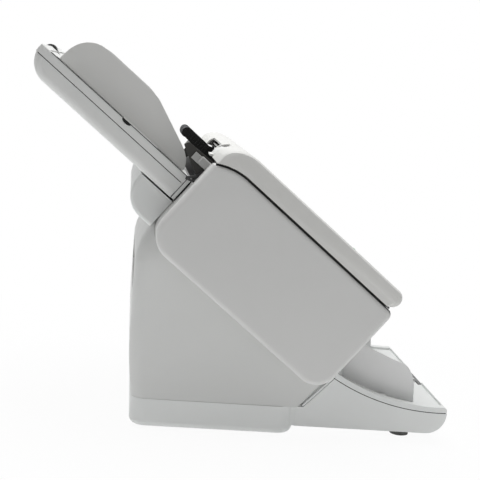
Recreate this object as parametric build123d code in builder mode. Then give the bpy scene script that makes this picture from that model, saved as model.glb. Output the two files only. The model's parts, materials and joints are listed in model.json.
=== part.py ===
# Document scanner with a tilted body, a rear hopper and a front output tray.
# X runs across the width, +Y points to the rear (hopper), +Z is up, the floor is Z = 0.
import os
from math import cos, radians, sin, sqrt

from build123d import *

os.makedirs("parts", exist_ok=True)

# Body: a rounded block, tilted so that its cover faces up and to the front
tilt = 38.0
body_width = 460.0
body_length = 314.0
body_height = 149.0
body_y = -30.6
body_z = 226.3
rear_radius = 36.0
front_radius = 32.0
nose_radius = 10.0
side_cover_depth = 16.0
side_bevel = 8.0
shell_wall = 3.0
part_gap = 0.4

# Seam under the cover: straight, then an arc down to the feed mouth
seam_drop = 15.0
seam_run = 48.0
cover_gap = 2.6

# Front cover
cover_thickness = 25.0
cover_wall = 2.5
cover_end_radius = 12.5
cover_bevel = 7.0

# Paper path, measured along the slope (P, towards the front) and off the slope (Q)
paper_width = body_width - 140.0
path_drop = 7.0
path_gap = 4.0
bed_wall = 3.0
frame_x = body_width / 2 - 44.5
frame_thickness = 1.5
cheek_thickness = 3.0
bush_depth = 9.0
running_fit = 0.05
soft_gap = 0.3

# Hopper
hopper_width = body_width - 90.0
hopper_length = 260.0
hopper_base_depth = 24.7
hopper_top_depth = 11.7
hopper_end_gap = 4.3
hopper_surface_q = body_height / 2 - 52.6
hopper_wall = 2.5
hopper_side_round = 12.0
hopper_end_round = 34.0
guide_thickness = 3.0
guide_inner_x = paper_width / 2 - 8.0
guide_travel = 100.0
dish_depth = 1.5
extension_width = 140.0
extension_thickness = 4.0
knob_radius = 9.5
knob_width = 24.0

# Lift housing under the hopper
housing_width = body_width - 120.0
housing_depth = 56.0
housing_low_q = 12.0
housing_top_q = housing_low_q - body_height / 2 + 45.0
housing_round = 38.0
housing_wall = 3.0
rod_radius = 4.0
screw_radius = 4.0
rod_x = housing_width / 2 - 50.0
lift_p = -185.0

# Stand and plinth
foot_height = 3.0
plinth_height = 39.5
plinth_width = body_width - 74.0
plinth_rear_y = 141.0
plinth_front_y = -84.0
plinth_corner = 22.0
plinth_round = 10.0
stand_wall = 3.0
stand_width = plinth_width - 20.0
foot_radius = 13.0
recess_half = stand_width / 2 - 35.0
recess_low = 180.0
recess_high = 222.0

# Output tray
tray_width = body_width - 90.0
tray_wall = 2.5
tray_underside = 14.5
tray_nose_y = -298.0
tray_low_z = 52.0
tray_rim = 7.5
tray_apex_y = -136.0
tray_apex_z = 92.0
tray_notch_width = 100.0
tray_notch_depth = 9.0

# Rollers
transport_radius = 10.0
pinch_radius = 7.0
feed_radius = 12.0
pick_radius = 9.0
shaft_radius = 3.0
tyre_width = 24.0

# Values worked out from the dimensions above
slope_cos = cos(radians(tilt))
slope_sin = sin(radians(tilt))
half_length = body_length / 2
half_height = body_height / 2
inner_x = body_width / 2 - side_cover_depth - part_gap
body_top = half_height - cover_gap / 2
cover_under = half_height + cover_gap / 2
cover_top = cover_under + cover_thickness
path_q = body_top - path_drop
seam_radius = (seam_run**2 + seam_drop**2) / (2 * seam_drop)
seam_start = -half_length + seam_run
hinge_p = half_length - 3.0 - cover_end_radius
hinge_q = cover_under + cover_end_radius


def slope(x=0.0):
    """Side profile plane of the tilted body: local X is P, local Y is Q, normal is -X."""
    return Plane(
        origin=(x, body_y, body_z), x_dir=(0, -slope_cos, -slope_sin), z_dir=(-1, 0, 0)
    )


def upright(x=0.0):
    """Side profile plane of stand and tray: local X points to the front, local Y up."""
    return Plane(origin=(x, 0, 0), x_dir=(0, -1, 0), z_dir=(-1, 0, 0))


def spot(p, q, x=0.0):
    """World point of a place given on the slope."""
    return (
        x,
        body_y - p * slope_cos - q * slope_sin,
        body_z - p * slope_sin + q * slope_cos,
    )


def across(p, q, x=0.0):
    """Plane square to the X axis through a place on the slope, normal +X."""
    return Plane(origin=spot(p, q, x), x_dir=(0, slope_cos, slope_sin), z_dir=(1, 0, 0))


def tilted(q, p=0.0, x=0.0):
    """Plane parallel to the slope: local X is X, local Y points up the slope."""
    return Plane(origin=spot(p, q, x), x_dir=(1, 0, 0), z_dir=(0, -slope_sin, slope_cos))


def slope_q(point):
    """Height of a world point off the middle of the slope."""
    return (body_y - point.Y) * slope_sin + (point.Z - body_z) * slope_cos


def slope_p(point):
    """Distance of a world point down the slope."""
    return (body_y - point.Y) * slope_cos - (point.Z - body_z) * slope_sin


def save(part, label):
    part.label = label
    export_step(part, "parts/" + label + ".step")


def seam_drop_at(p):
    """How far the seam has fallen below its straight part at a place on the slope."""
    run = max(0.0, seam_start - p)
    return seam_radius - sqrt(seam_radius**2 - run**2)


def body_outline(inset=0.0, top=None):
    """Closed outline of the body block in the slope plane, drawn inset by a wall."""
    top = body_top if top is None else top
    rear = -half_length + inset
    front = half_length - inset
    low = -half_height + inset
    with BuildLine() as outline:
        rear_top = top - seam_drop_at(rear)
        end_arc = ThreePointArc(
            (seam_start, top),
            (seam_start - seam_run / 2, top - seam_drop_at(seam_start - seam_run / 2)),
            (rear, rear_top),
        )
        Polyline(
            end_arc @ 1, (rear, low), (front, low), (front, top), end_arc @ 0
        )
    with BuildSketch() as face:
        add(outline)
        make_face()
        fillet(face.vertices().sort_by(Axis.Y)[:2].sort_by(Axis.X)[0], max(rear_radius - inset, 1.0))
        fillet(face.vertices().sort_by(Axis.Y)[:2].sort_by(Axis.X)[-1], max(front_radius - inset, 1.0))
        nose = face.vertices().group_by(Axis.X)[-1].sort_by(Axis.Y)[-1]
        fillet(nose, max(nose_radius - inset, 1.0))
    return face.sketch


def housing_outline(inset=0.0):
    """Outline of the rounded lift housing behind the body, in the slope plane."""
    front = -half_length - part_gap
    rear = front - housing_depth + inset
    low = -half_height + housing_low_q + inset
    top = housing_top_q - inset
    with BuildSketch() as face:
        with BuildLine():
            Polyline((front, low), (front, top), (rear, top), (rear, low), close=True)
        make_face()
        fillet(face.vertices().sort_by(Axis.Y)[:2].sort_by(Axis.X)[0], housing_round - inset)
    return face.sketch


# Plinth: a shallow moulded tub that everything stands on

plinth_length = plinth_rear_y - plinth_front_y
plinth_mid_y = (plinth_rear_y + plinth_front_y) / 2
stand_floor = foot_height + plinth_height
foot_spots = [
    (x, y)
    for x in (-plinth_width / 2 + 38, plinth_width / 2 - 38)
    for y in (plinth_front_y + 32, plinth_rear_y - 32)
]

with BuildPart() as plinth:
    with BuildSketch(Plane.XY.offset(foot_height)):
        with Locations((0, plinth_mid_y)):
            RectangleRounded(plinth_width, plinth_length, plinth_corner)
    extrude(amount=plinth_height)
    fillet(plinth.faces().sort_by(Axis.Z)[0].edges(), plinth_round)
    with BuildSketch(Plane.XY.offset(foot_height + stand_wall)):
        with Locations((0, plinth_mid_y)):
            RectangleRounded(
                plinth_width - 2 * stand_wall,
                plinth_length - 2 * stand_wall,
                plinth_corner - stand_wall,
            )
    extrude(amount=plinth_height, mode=Mode.SUBTRACT)
    with BuildSketch(Plane.XY.offset(foot_height + stand_wall)):
        with Locations(*foot_spots):
            Circle(6.0)
    extrude(amount=plinth_height - stand_wall)
    with BuildSketch(Plane.XY.offset(foot_height)):
        with Locations(*foot_spots):
            Circle(1.6)
    extrude(amount=plinth_height, mode=Mode.SUBTRACT)
save(plinth.part, "base_plinth")

# Stand: hollow shell that flares out to the plinth and cradles the body

stand_rear_lean = 7.5
stand_flare = (plinth_width - stand_width) / 2 - 1.0
stand_fore_y = -200.0
stand_front_top = (-tray_apex_y - 2.6, tray_apex_z + 1.0)
stand_front_foot = (-plinth_front_y + 2.0, stand_floor)
stand_rear_y = plinth_rear_y + stand_rear_lean
stand_sections = (
    (stand_floor, plinth_rear_y, stand_flare, plinth_corner),
    (stand_floor + 25.0, plinth_rear_y + 3.2, 0.5 * stand_flare, plinth_corner),
    (stand_floor + 55.0, plinth_rear_y + 6.0, 0.25 * stand_flare, plinth_corner - 2.0),
    (stand_floor + 90.0, stand_rear_y, 0.15 * stand_flare, plinth_corner - 2.0),
    (stand_floor + 140.0, stand_rear_y, 0.1 * stand_flare, plinth_corner),
    (stand_floor + 184.0, stand_rear_y, 0.07 * stand_flare, plinth_corner + 10.0),
    (stand_floor + 197.0, stand_rear_y - 2.2, 0.05 * stand_flare, plinth_corner + 18.0),
    (stand_floor + 212.0, stand_rear_y - 7.5, 0.03 * stand_flare, plinth_corner + 27.0),
    (stand_floor + 230.0, stand_rear_y - 16.0, 0.02 * stand_flare, plinth_corner + 34.0),
    (stand_floor + 248.0, stand_rear_y - 28.0, 0.0, plinth_corner + 40.0),
)


def stand_mass(inset):
    """Stacked rounded sections of the stand, drawn inset by a wall: height, rear, flare, corner."""
    with BuildPart() as mass:
        for z, rear, flare, corner in stand_sections:
            with BuildSketch(Plane.XY.offset(z)):
                with Locations((0, (rear - inset + stand_fore_y) / 2)):
                    RectangleRounded(
                        stand_width + 2 * (flare - inset), rear - inset - stand_fore_y, corner - inset
                    )
        loft(ruled=True)
        with BuildSketch(upright()):
            with BuildLine():
                Polyline(
                    (-300.0, stand_floor), (-300.0, 290.0), (-plinth_rear_y + 60.0, 290.0),
                    (40.0, 240.0), (stand_front_top[0] - inset, stand_front_top[1]),
                    (stand_front_foot[0] - inset, stand_floor), close=True,
                )
            make_face()
        extrude(amount=plinth_width, both=True, mode=Mode.INTERSECT)
    return mass.part


with BuildPart() as stand:
    add(stand_mass(0.0))
    add(stand_mass(stand_wall), mode=Mode.SUBTRACT)
    with BuildSketch(slope()):
        add(body_outline(-part_gap))
    extrude(amount=plinth_width, both=True, mode=Mode.SUBTRACT)
    with BuildSketch(slope()):
        add(housing_outline(-part_gap))
    extrude(amount=plinth_width, both=True, mode=Mode.SUBTRACT)
    with BuildSketch(Plane.XZ.offset(-stand_rear_y - 1)):
        with Locations((0, (recess_low + recess_high) / 2)):
            Rectangle(2 * recess_half, recess_high - recess_low)
    extrude(amount=stand_wall + 4, mode=Mode.SUBTRACT)
save(stand.part, "stand_shell")

# Body shell: the open channel between the two side covers

mouth_low_q = hopper_surface_q - 1.5
mouth_half = frame_x + frame_thickness + cheek_thickness + bush_depth + 1.0
exit_low_q = 30.0
exit_high_q = 46.5
exit_half = paper_width / 2 + 5

with BuildPart() as body_shell:
    with BuildSketch(slope()):
        add(body_outline())
        add(body_outline(shell_wall), mode=Mode.SUBTRACT)
    extrude(amount=inner_x, both=True)
    with BuildSketch(slope()):
        with Locations((0, body_top)):
            Rectangle(body_length - 2 * shell_wall - 0.2, 2 * shell_wall + 34.0)
        with Locations((-half_length, body_top - seam_drop)):
            Rectangle(80, 2 * shell_wall)
    extrude(amount=inner_x, both=True, mode=Mode.SUBTRACT)
    with BuildSketch(slope()):
        with Locations((-half_length, mouth_low_q)):
            Rectangle(4 * shell_wall, body_height, align=(Align.CENTER, Align.MIN))
    extrude(amount=mouth_half, both=True, mode=Mode.SUBTRACT)
    with BuildSketch(slope()):
        with Locations((half_length, exit_low_q)):
            Rectangle(4 * shell_wall, body_height, align=(Align.CENTER, Align.MIN))
    extrude(amount=exit_half, both=True, mode=Mode.SUBTRACT)
save(body_shell.part, "body_shell")


# Side covers: deep caps with a rounded edge, one at each end of the body

def side_cover(side):
    """One end cap of the body, left (-1) or right (+1)."""
    inner_face = side * (inner_x + part_gap)
    outward = -side * side_cover_depth
    with BuildPart() as cap:
        with BuildSketch(slope(inner_face)):
            add(body_outline())
        extrude(amount=outward)
        rim = cap.edges().group_by(Axis.X)[-1 if side > 0 else 0]
        soft = [e for e in rim if slope_q(e.center()) < body_top - seam_drop - 12]
        fillet(soft, side_bevel)
        with BuildSketch(slope(inner_face)):
            add(body_outline(shell_wall))
        extrude(amount=outward + side * shell_wall, mode=Mode.SUBTRACT)
    return cap.part


save(side_cover(-1), "side_cover_left")
save(side_cover(1), "side_cover_right")

# Lift housing: closed swelling behind the body, with wells for the hopper's bosses

well_radius = 12.0
lift_seat_q = -half_height + housing_low_q + housing_wall + 7.5
lift_spots = [(x, 0) for x in (-rod_x, 0, rod_x)]

with BuildPart() as housing:
    with BuildSketch(slope()):
        add(housing_outline())
    extrude(amount=housing_width / 2, both=True)
    ends = housing.edges().group_by(Axis.X)
    fillet([e for e in ends[0] + ends[-1] if slope_p(e.center()) < -half_length - 2
            and slope_q(e.center()) < housing_top_q - 2], 6)
    with BuildSketch(slope()):
        add(housing_outline(housing_wall))
        with Locations((-half_length, housing_low_q - half_height)):
            Rectangle(2 * housing_wall + 2 * part_gap, body_height, mode=Mode.SUBTRACT)
    extrude(amount=housing_width / 2 - housing_wall, both=True, mode=Mode.SUBTRACT)
    with BuildSketch(tilted(housing_top_q + 1, lift_p)):
        with Locations(*lift_spots):
            Circle(well_radius)
    extrude(amount=-housing_wall - 2, mode=Mode.SUBTRACT)
    with BuildPart(mode=Mode.PRIVATE) as seats:
        with BuildSketch(tilted(lift_seat_q, lift_p)):
            with Locations(*lift_spots):
                Circle(well_radius)
        extrude(amount=-2 * housing_wall - 10)
        with BuildSketch(slope()):
            add(housing_outline(housing_wall / 2))
        extrude(amount=housing_width / 2, both=True, mode=Mode.INTERSECT)
    add(seats.part)
save(housing.part, "lift_housing")

# Places of the shafts and of the drive

feed_p = -half_length + 19.0
feed_q = body_top - 13.2
feed_belt_x = -(frame_x - 27.5)
separation_q = feed_q - 2 * feed_radius - 0.1
exit_bend = 40.0
exit_gap = 6.5
bed_flat_end = 108.0
eject_reach = exit_bend + 0.6
eject_lever = (eject_reach - transport_radius) * cos(radians(45))
eject_p = bed_flat_end + eject_lever
eject_q = path_q - exit_bend + eject_lever
transport_p = (-72.0, 72.0)
roller_proud = 0.8
transport_q = path_q - transport_radius + roller_proud
motor_p = 0.0
motor_q = 12.0
motor_radius = 21.0
shaft_spots = [
    (feed_p, feed_q),
    (feed_p, separation_q),
    (eject_p, eject_q),
    (transport_p[0], transport_q),
    (transport_p[1], transport_q),
]
frame_window_spots = [(-48, -28), (62, -22)]
tie_spots = [(-95.0, -45.0), (0.0, -58.0), (95.0, -45.0)]
tie_radius = 4.0

# Side frames: two steel plates with tie bars between them, which carry every shaft

with BuildPart() as frames:
    for side in (-1, 1):
        with BuildSketch(slope(side * (frame_x + frame_thickness / 2))):
            add(body_outline(shell_wall + 0.2, top=body_top - bed_wall - 0.2))
            with Locations(*shaft_spots):
                Circle(shaft_radius + running_fit, mode=Mode.SUBTRACT)
            with Locations((motor_p, motor_q)):
                Circle(motor_radius / 2, mode=Mode.SUBTRACT)
            with Locations(*frame_window_spots):
                RectangleRounded(46, 40, 8, mode=Mode.SUBTRACT)
        extrude(amount=frame_thickness / 2, both=True)
    with BuildSketch(slope()):
        with Locations(*tie_spots):
            Circle(tie_radius)
    extrude(amount=frame_x + frame_thickness / 2, both=True)
save(frames.part, "side_frames")

# Deck: closes the body around the paper path and carries the cover hinge

deck_inner = mouth_half - bush_depth - 0.5
deck_front_p = 118.0
hook_x = frame_x + 14.5
hook_slot_rear = -140.0
hook_slot_front = -124.5
lip_thickness = 1.8
lip_x = inner_x - 1.2
lip_front_p = 122.0
lip_rear_p = -106.0

with BuildPart() as deck:
    with BuildSketch(slope()):
        add(body_outline(shell_wall + 0.2))
        add(body_outline(shell_wall + 0.1, top=body_top - bed_wall), mode=Mode.SUBTRACT)
        with Locations((0, -half_height)):
            Rectangle(2 * body_length, body_height, mode=Mode.SUBTRACT)
    extrude(amount=inner_x - 0.2, both=True)
    with BuildSketch(slope()):
        with Locations((deck_front_p, 0)):
            Rectangle(2 * body_length, 2 * body_height, align=(Align.MAX, Align.CENTER))
    extrude(amount=deck_inner, both=True, mode=Mode.SUBTRACT)
    for side in (-1, 1):
        with BuildSketch(slope(side * hook_x)):
            with Locations((hook_slot_rear, 0)):
                Rectangle(
                    hook_slot_front - hook_slot_rear, 2 * body_height,
                    align=(Align.MIN, Align.CENTER),
                )
        extrude(amount=4.0, both=True, mode=Mode.SUBTRACT)
    with BuildSketch(tilted(body_top - 0.5)):
        with Locations((0, -lip_front_p)):
            Rectangle(2 * lip_x + lip_thickness, lip_thickness)
        with Locations(*[(side * lip_x, -(lip_rear_p + lip_front_p) / 2) for side in (-1, 1)]):
            Rectangle(lip_thickness, lip_front_p - lip_rear_p)
    extrude(amount=cover_gap + 0.5 - soft_gap - 0.1)
save(deck.part, "deck")

# Feed cheeks: dark plates beside the feed mouth that reach out over the hopper's end

lever_p = feed_p - 16.0
lever_q = feed_q - 22.0
lever_pin = 2.0
cheek_corners = (
    (-62.0, -9.5), (-58.0, -3.0), (-12.0, -1.0), (10.0, 6.0),
    (16.0, -20.0), (16.0, -33.5), (-8.0, -33.5), (-34.0, -24.0),
)

with BuildPart() as cheeks:
    for side in (-1, 1):
        with BuildSketch(slope(side * (frame_x + frame_thickness))) as cheek_face:
            with BuildLine():
                Polyline(*[(feed_p + dp, feed_q + dq) for dp, dq in cheek_corners], close=True)
            make_face()
            fillet(cheek_face.vertices(), 2.0)
            with Locations((feed_p, feed_q), (feed_p, separation_q)):
                Circle(shaft_radius + running_fit, mode=Mode.SUBTRACT)
            with Locations((lever_p, lever_q)):
                Circle(lever_pin + running_fit, mode=Mode.SUBTRACT)
        extrude(amount=-side * cheek_thickness)
save(cheeks.part, "feed_cheeks")

bush_p = feed_p - 20.0
bush_q = feed_q - 10.0

with BuildPart() as bush_blocks:
    for side in (-1, 1):
        with BuildSketch(slope(side * (frame_x + frame_thickness + cheek_thickness))):
            with Locations((bush_p, bush_q)):
                RectangleRounded(26.0, 11.0, 2.0)
        extrude(amount=-side * bush_depth)
    chamfer(bush_blocks.edges().group_by(Axis.X)[0], 1.5)
    chamfer(bush_blocks.edges().group_by(Axis.X)[-1], 1.5)
save(bush_blocks.part, "feed_bush_blocks")

# Transport bed: the lower paper guide, from the feed mouth to the exit

outer_tyre_x = paper_width / 2 - 30.0
tyre_spots = (-outer_tyre_x, -50.0, 50.0, outer_tyre_x)
feed_tyre_spots = (-19.0, 19.0)
bed_half = frame_x - 0.2
bed_mouth_p = -half_length + shell_wall + 0.3
bed_exit_p = half_length - shell_wall - 0.3
bed_step_p = -98.0
window_p = -20.0
window_length = 36.0
window_half = paper_width / 2 + 4.0
exit_corner_p = bed_flat_end + exit_bend * cos(radians(45))
exit_corner_q = path_q - exit_bend * (1 - cos(radians(45)))
exit_end_q = exit_corner_q - (bed_exit_p - exit_corner_p)

with BuildPart() as bed:
    with BuildSketch(slope()):
        with BuildLine() as bed_line:
            entry = FilletPolyline(
                (bed_mouth_p, 44.0),
                (-126.0, 47.4),
                (bed_step_p, path_q),
                (bed_flat_end, path_q),
                radius=14,
            )
            turn = JernArc(start=entry @ 1, tangent=(1, 0), radius=exit_bend, arc_size=-45)
            Line(turn @ 1, (bed_exit_p, exit_end_q))
            offset(amount=bed_wall, side=Side.RIGHT)
        make_face()
    extrude(amount=bed_half, both=True)
    with BuildSketch(tilted(path_q + 1, feed_p)):
        with Locations(*[(x, 0) for x in feed_tyre_spots]):
            Rectangle(tyre_width + 2, 2 * feed_radius + 2)
    extrude(amount=-40, mode=Mode.SUBTRACT)
    for p in transport_p:
        with BuildSketch(tilted(path_q + 1, p)):
            with Locations(*[(x, 0) for x in tyre_spots]):
                Rectangle(tyre_width + 2, 18)
        extrude(amount=-8, mode=Mode.SUBTRACT)
    with BuildSketch(tilted(path_q + 1, eject_p)):
        with Locations(*[(x, 0) for x in tyre_spots]):
            Rectangle(tyre_width + 2, 2 * transport_radius + 2)
    extrude(amount=-26, mode=Mode.SUBTRACT)
    with BuildSketch(tilted(path_q + 1, window_p)):
        Rectangle(2 * window_half, window_length)
    extrude(amount=-8, mode=Mode.SUBTRACT)
    with BuildSketch(tilted(path_q + 1, -131.0, feed_belt_x + 3)):
        Rectangle(9, 40)
    extrude(amount=-40, mode=Mode.SUBTRACT)
save(bed.part, "transport_bed")

with BuildPart() as lower_glass:
    with BuildSketch(tilted(path_q, window_p)):
        Rectangle(2 * window_half - 0.2, window_length - 0.2)
    extrude(amount=-bed_wall)
save(lower_glass.part, "lower_glass")


def sensor_unit(plane, amount):
    """Contact image sensor: a long channel-shaped housing with a lens slot."""
    with BuildPart() as unit:
        with BuildSketch(plane):
            Rectangle(2 * window_half + 4, window_length - 6)
        extrude(amount=amount)
        with BuildSketch(plane):
            Rectangle(2 * window_half - 8, 9)
        extrude(amount=amount / 3, mode=Mode.SUBTRACT)
    return unit.part


sensor_depth = 15.0
save(sensor_unit(tilted(path_q - bed_wall, window_p), -sensor_depth), "lower_sensor")

# Exit guide: turns the sheet down and closes the front wall above the exit slot

guide_bend = exit_bend + exit_gap
guide_start_p = bed_flat_end + guide_bend * sin(radians(27))
guide_start_q = path_q - exit_bend + guide_bend * cos(radians(27))
guide_end = (bed_flat_end + guide_bend * sin(radians(45)),
             path_q - exit_bend + guide_bend * cos(radians(45)))

with BuildPart() as exit_guide:
    with BuildSketch(slope()):
        with BuildLine():
            bend = RadiusArc((guide_start_p, guide_start_q), guide_end, guide_bend)
            Line(bend @ 1, (half_length - 1.5, guide_end[1] - (half_length - 1.5 - guide_end[0])))
            offset(amount=2.0, side=Side.LEFT)
        make_face()
        with Locations((half_length, 0)):
            Rectangle(3, 2 * body_height, mode=Mode.SUBTRACT)
    extrude(amount=exit_half - 0.2, both=True)
    with BuildSketch(slope()):
        add(body_outline())
        add(body_outline(shell_wall), mode=Mode.SUBTRACT)
        with Locations((half_length, exit_high_q)):
            Rectangle(
                2 * nose_radius, body_top - bed_wall - exit_high_q - 0.2,
                align=(Align.CENTER, Align.MIN), mode=Mode.INTERSECT,
            )
    extrude(amount=exit_half - 0.2, both=True)
save(exit_guide.part, "exit_guide")

# Cover hinge: lobes on the deck, with pins that turn inside them

bracket_x = frame_x + 13.5
bracket_half = 4.0
lobe_radius = 8.0
pin_radius = 3.0
lug_thickness = 4.5

with BuildPart() as hinge_brackets:
    for side in (-1, 1):
        with BuildSketch(slope(side * bracket_x)):
            with Locations((hinge_p, hinge_q)):
                Circle(lobe_radius)
            with Locations((hinge_p, body_top)):
                Rectangle(
                    2 * lobe_radius - 3, hinge_q - body_top, align=(Align.CENTER, Align.MIN)
                )
            with Locations((hinge_p, hinge_q)):
                Circle(pin_radius + running_fit, mode=Mode.SUBTRACT)
        extrude(amount=bracket_half, both=True)
save(hinge_brackets.part, "hinge_brackets")

# Front cover: a thin shell over the whole upper face, hinged at its lower end

cover_rear = -half_length + 2.0
cover_half = body_width / 2
crown_length = 42.0


def cover_outline(inset=0.0, rise=0.0):
    """Side outline of the front cover, set in by an amount and cut higher underneath."""
    rear = cover_rear + inset
    under = cover_under + rise
    top = cover_top - inset
    mid = (seam_start + rear) / 2
    end_radius = cover_end_radius - inset
    with BuildSketch() as face:
        with BuildLine():
            lip = ThreePointArc(
                (seam_start, under),
                (mid, under - seam_drop_at(mid)),
                (rear, under - seam_drop_at(rear)),
            )
            Line(lip @ 1, (rear, cover_under - 3.0))
            EllipticalCenterArc(
                (cover_rear + crown_length, cover_under - 3.0),
                crown_length - inset,
                top - cover_under + 3.0,
                start_angle=90,
                arc_size=90,
            )
            Line((cover_rear + crown_length, top), (hinge_p, top))
            nose = CenterArc((hinge_p, hinge_q), end_radius, 90, -160)
            Polyline(nose @ 1, (hinge_p, under), (seam_start, under))
        make_face()
    return face.sketch


panel_rear_p = 20.0
panel_front_p = 134.0
panel_half = body_width / 2 - 105.0
panel_proud = 1.4
button_x = panel_half - 41.0
button_spots = {
    "start_button": (button_x, panel_rear_p + 50.0, 11.0),
    "stop_button": (button_x, panel_rear_p + 80.0, 8.0),
}
button_travel = 0.8
stem_radius = 3.0
latch_p = -half_length + 25.0
latch_q = cover_under + 8.2
paddle_left = -body_width / 2 + 98.0
paddle_right = paddle_left + 44.0
pick_notch = 78.0
cover_open_front = 128.0
bracket_slot_rise = 5.2

with BuildPart() as cover:
    with BuildSketch(slope()):
        add(cover_outline())
    extrude(amount=cover_half - cover_bevel, both=True)
    bevel_steps = ((cover_bevel, 0.0), (cover_bevel * 0.3, cover_bevel * 0.3), (0.0, cover_bevel))
    for side in (-1, 1):
        for near, far in zip(bevel_steps, bevel_steps[1:]):
            with BuildSketch(slope(side * (cover_half - near[0]))):
                add(cover_outline(near[1]))
            with BuildSketch(slope(side * (cover_half - far[0]))):
                add(cover_outline(far[1]))
            loft(ruled=True)
    with BuildSketch(slope()):
        add(cover_outline(cover_wall, cover_wall))
        with Locations((cover_rear + cover_wall, cover_under)):
            Rectangle(
                cover_open_front - cover_rear - cover_wall, 2 * cover_thickness,
                align=(Align.MIN, Align.MAX),
            )
        with Locations((seam_start, cover_under)):
            Rectangle(
                cover_open_front - seam_start, cover_wall + 1, align=(Align.MIN, Align.MIN)
            )
        with Locations((cover_rear + cover_wall, cover_under - seam_drop)):
            Rectangle(
                seam_start - cover_rear, seam_drop + cover_wall, align=(Align.MIN, Align.MIN)
            )
    extrude(amount=cover_half - cover_wall, both=True, mode=Mode.SUBTRACT)
    with BuildSketch(slope()):
        with Locations((cover_rear, cover_under - 2 * seam_drop)):
            Rectangle(4 * cover_wall, 2 * seam_drop + 8, align=(Align.CENTER, Align.MIN))
    extrude(amount=pick_notch, both=True, mode=Mode.SUBTRACT)
    with BuildSketch(slope(paddle_right)):
        with Locations((cover_rear - 4, cover_under - 2 * seam_drop)):
            Rectangle(15.5, 3 * cover_thickness, align=(Align.MIN, Align.MIN))
    extrude(amount=paddle_right - paddle_left, mode=Mode.SUBTRACT)
    for side in (-1, 1):
        with BuildSketch(slope(side * bracket_x)):
            with Locations((cover_open_front, hinge_q + bracket_slot_rise)):
                Rectangle(40, cover_thickness, align=(Align.MIN, Align.MAX))
        extrude(amount=bracket_half + 1.0, both=True, mode=Mode.SUBTRACT)
        for offset_x in (-1, 1):
            lug_x = side * bracket_x + offset_x * (bracket_half + 0.6 + lug_thickness / 2)
            with BuildSketch(slope(lug_x)):
                with Locations((hinge_p, hinge_q)):
                    Circle(lobe_radius - 1)
                with Locations((hinge_p - 1, hinge_q)):
                    Rectangle(
                        2 * lobe_radius - 4, cover_end_radius - cover_wall + 0.5,
                        align=(Align.CENTER, Align.MIN),
                    )
                with Locations((hinge_p, hinge_q)):
                    Circle(pin_radius, mode=Mode.SUBTRACT)
            extrude(amount=lug_thickness / 2, both=True)
    with BuildSketch(tilted(cover_top + 1)):
        with Locations(*[(x, -p) for x, p, _ in button_spots.values()]):
            Circle(stem_radius + soft_gap)
    extrude(amount=-2 * cover_wall, mode=Mode.SUBTRACT)
save(cover.part, "cover_shell")

with BuildPart() as hinge_pins:
    for side in (-1, 1):
        with BuildSketch(across(hinge_p, hinge_q, side * bracket_x)):
            Circle(pin_radius)
        extrude(amount=bracket_half + 0.6 + lug_thickness, both=True)
save(hinge_pins.part, "hinge_pins")

# Inner plate of the cover: upper paper guide, with room for glass and pinch rollers

guide_q = path_q + path_gap
plate_thickness = 2.0
plate_q = cover_under + 0.6
guide_half = frame_x - 14.5
guide_rear_p = -114.0
guide_front_p = 104.0
upper_window_p = 22.0
pinch_q = path_q + roller_proud + 0.1 + pinch_radius
pinch_shaft = 2.0
pinch_tyre_width = 14.0
pinch_post_x = outer_tyre_x + 20.0
pinch_half = pinch_post_x + 3.0

with BuildPart() as cover_inner:
    with BuildSketch(tilted(plate_q, (cover_open_front - 147.0) / 2)):
        Rectangle(2 * (cover_half - cover_wall - 0.3), cover_open_front + 147.0 - 0.6)
    extrude(amount=plate_thickness)
    with BuildSketch(tilted(guide_q, (guide_front_p + guide_rear_p) / 2)):
        Rectangle(2 * guide_half, guide_front_p - guide_rear_p)
    extrude(amount=plate_q - guide_q)
    chamfer(cover_inner.faces().sort_by(lambda f: slope_q(f.center()))[0].edges(), 3.0)
    with BuildSketch(tilted(guide_q + plate_thickness, (guide_front_p + guide_rear_p) / 2)):
        Rectangle(2 * guide_half - 7, guide_front_p - guide_rear_p - 7)
    extrude(amount=20, mode=Mode.SUBTRACT)
    with BuildSketch(tilted(guide_q - 1, upper_window_p)):
        Rectangle(2 * window_half, window_length)
    extrude(amount=8, mode=Mode.SUBTRACT)
    for p in transport_p:
        with BuildSketch(tilted(guide_q - 1, p)):
            with Locations(*[(x, 0) for x in tyre_spots]):
                Rectangle(tyre_width - 6, 2 * pinch_radius + 1)
        extrude(amount=8, mode=Mode.SUBTRACT)
        for x in (-pinch_post_x, 0.0, pinch_post_x):
            with BuildSketch(slope(x)):
                with Locations((p, guide_q + plate_thickness - 0.5)):
                    Rectangle(10, 9.0, align=(Align.CENTER, Align.MIN))
                with Locations((p, pinch_q)):
                    Circle(pinch_shaft + running_fit, mode=Mode.SUBTRACT)
            extrude(amount=2.5, both=True)
        with BuildSketch(slope()):
            with Locations((p, pinch_q)):
                Circle(pinch_shaft + running_fit)
        extrude(amount=pinch_half, both=True, mode=Mode.SUBTRACT)
    for side in (-1, 1):
        with BuildSketch(tilted(plate_q - 1, latch_p, side * hook_x)):
            Rectangle(9, 22)
        extrude(amount=8, mode=Mode.SUBTRACT)
        with BuildSketch(slope(side * (hook_x - 14))):
            with Locations((latch_p, plate_q + plate_thickness - 0.5)):
                Rectangle(11, latch_q - plate_q + 3, align=(Align.CENTER, Align.MIN))
            with Locations((latch_p, latch_q)):
                Circle(shaft_radius + running_fit, mode=Mode.SUBTRACT)
        extrude(amount=3, both=True)
save(cover_inner.part, "cover_inner")

with BuildPart() as upper_glass:
    with BuildSketch(tilted(guide_q, upper_window_p)):
        Rectangle(2 * window_half - 0.2, window_length - 0.2)
    extrude(amount=plate_thickness)
save(upper_glass.part, "upper_glass")
save(
    sensor_unit(tilted(guide_q + plate_thickness, upper_window_p), sensor_depth),
    "upper_sensor",
)


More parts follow.
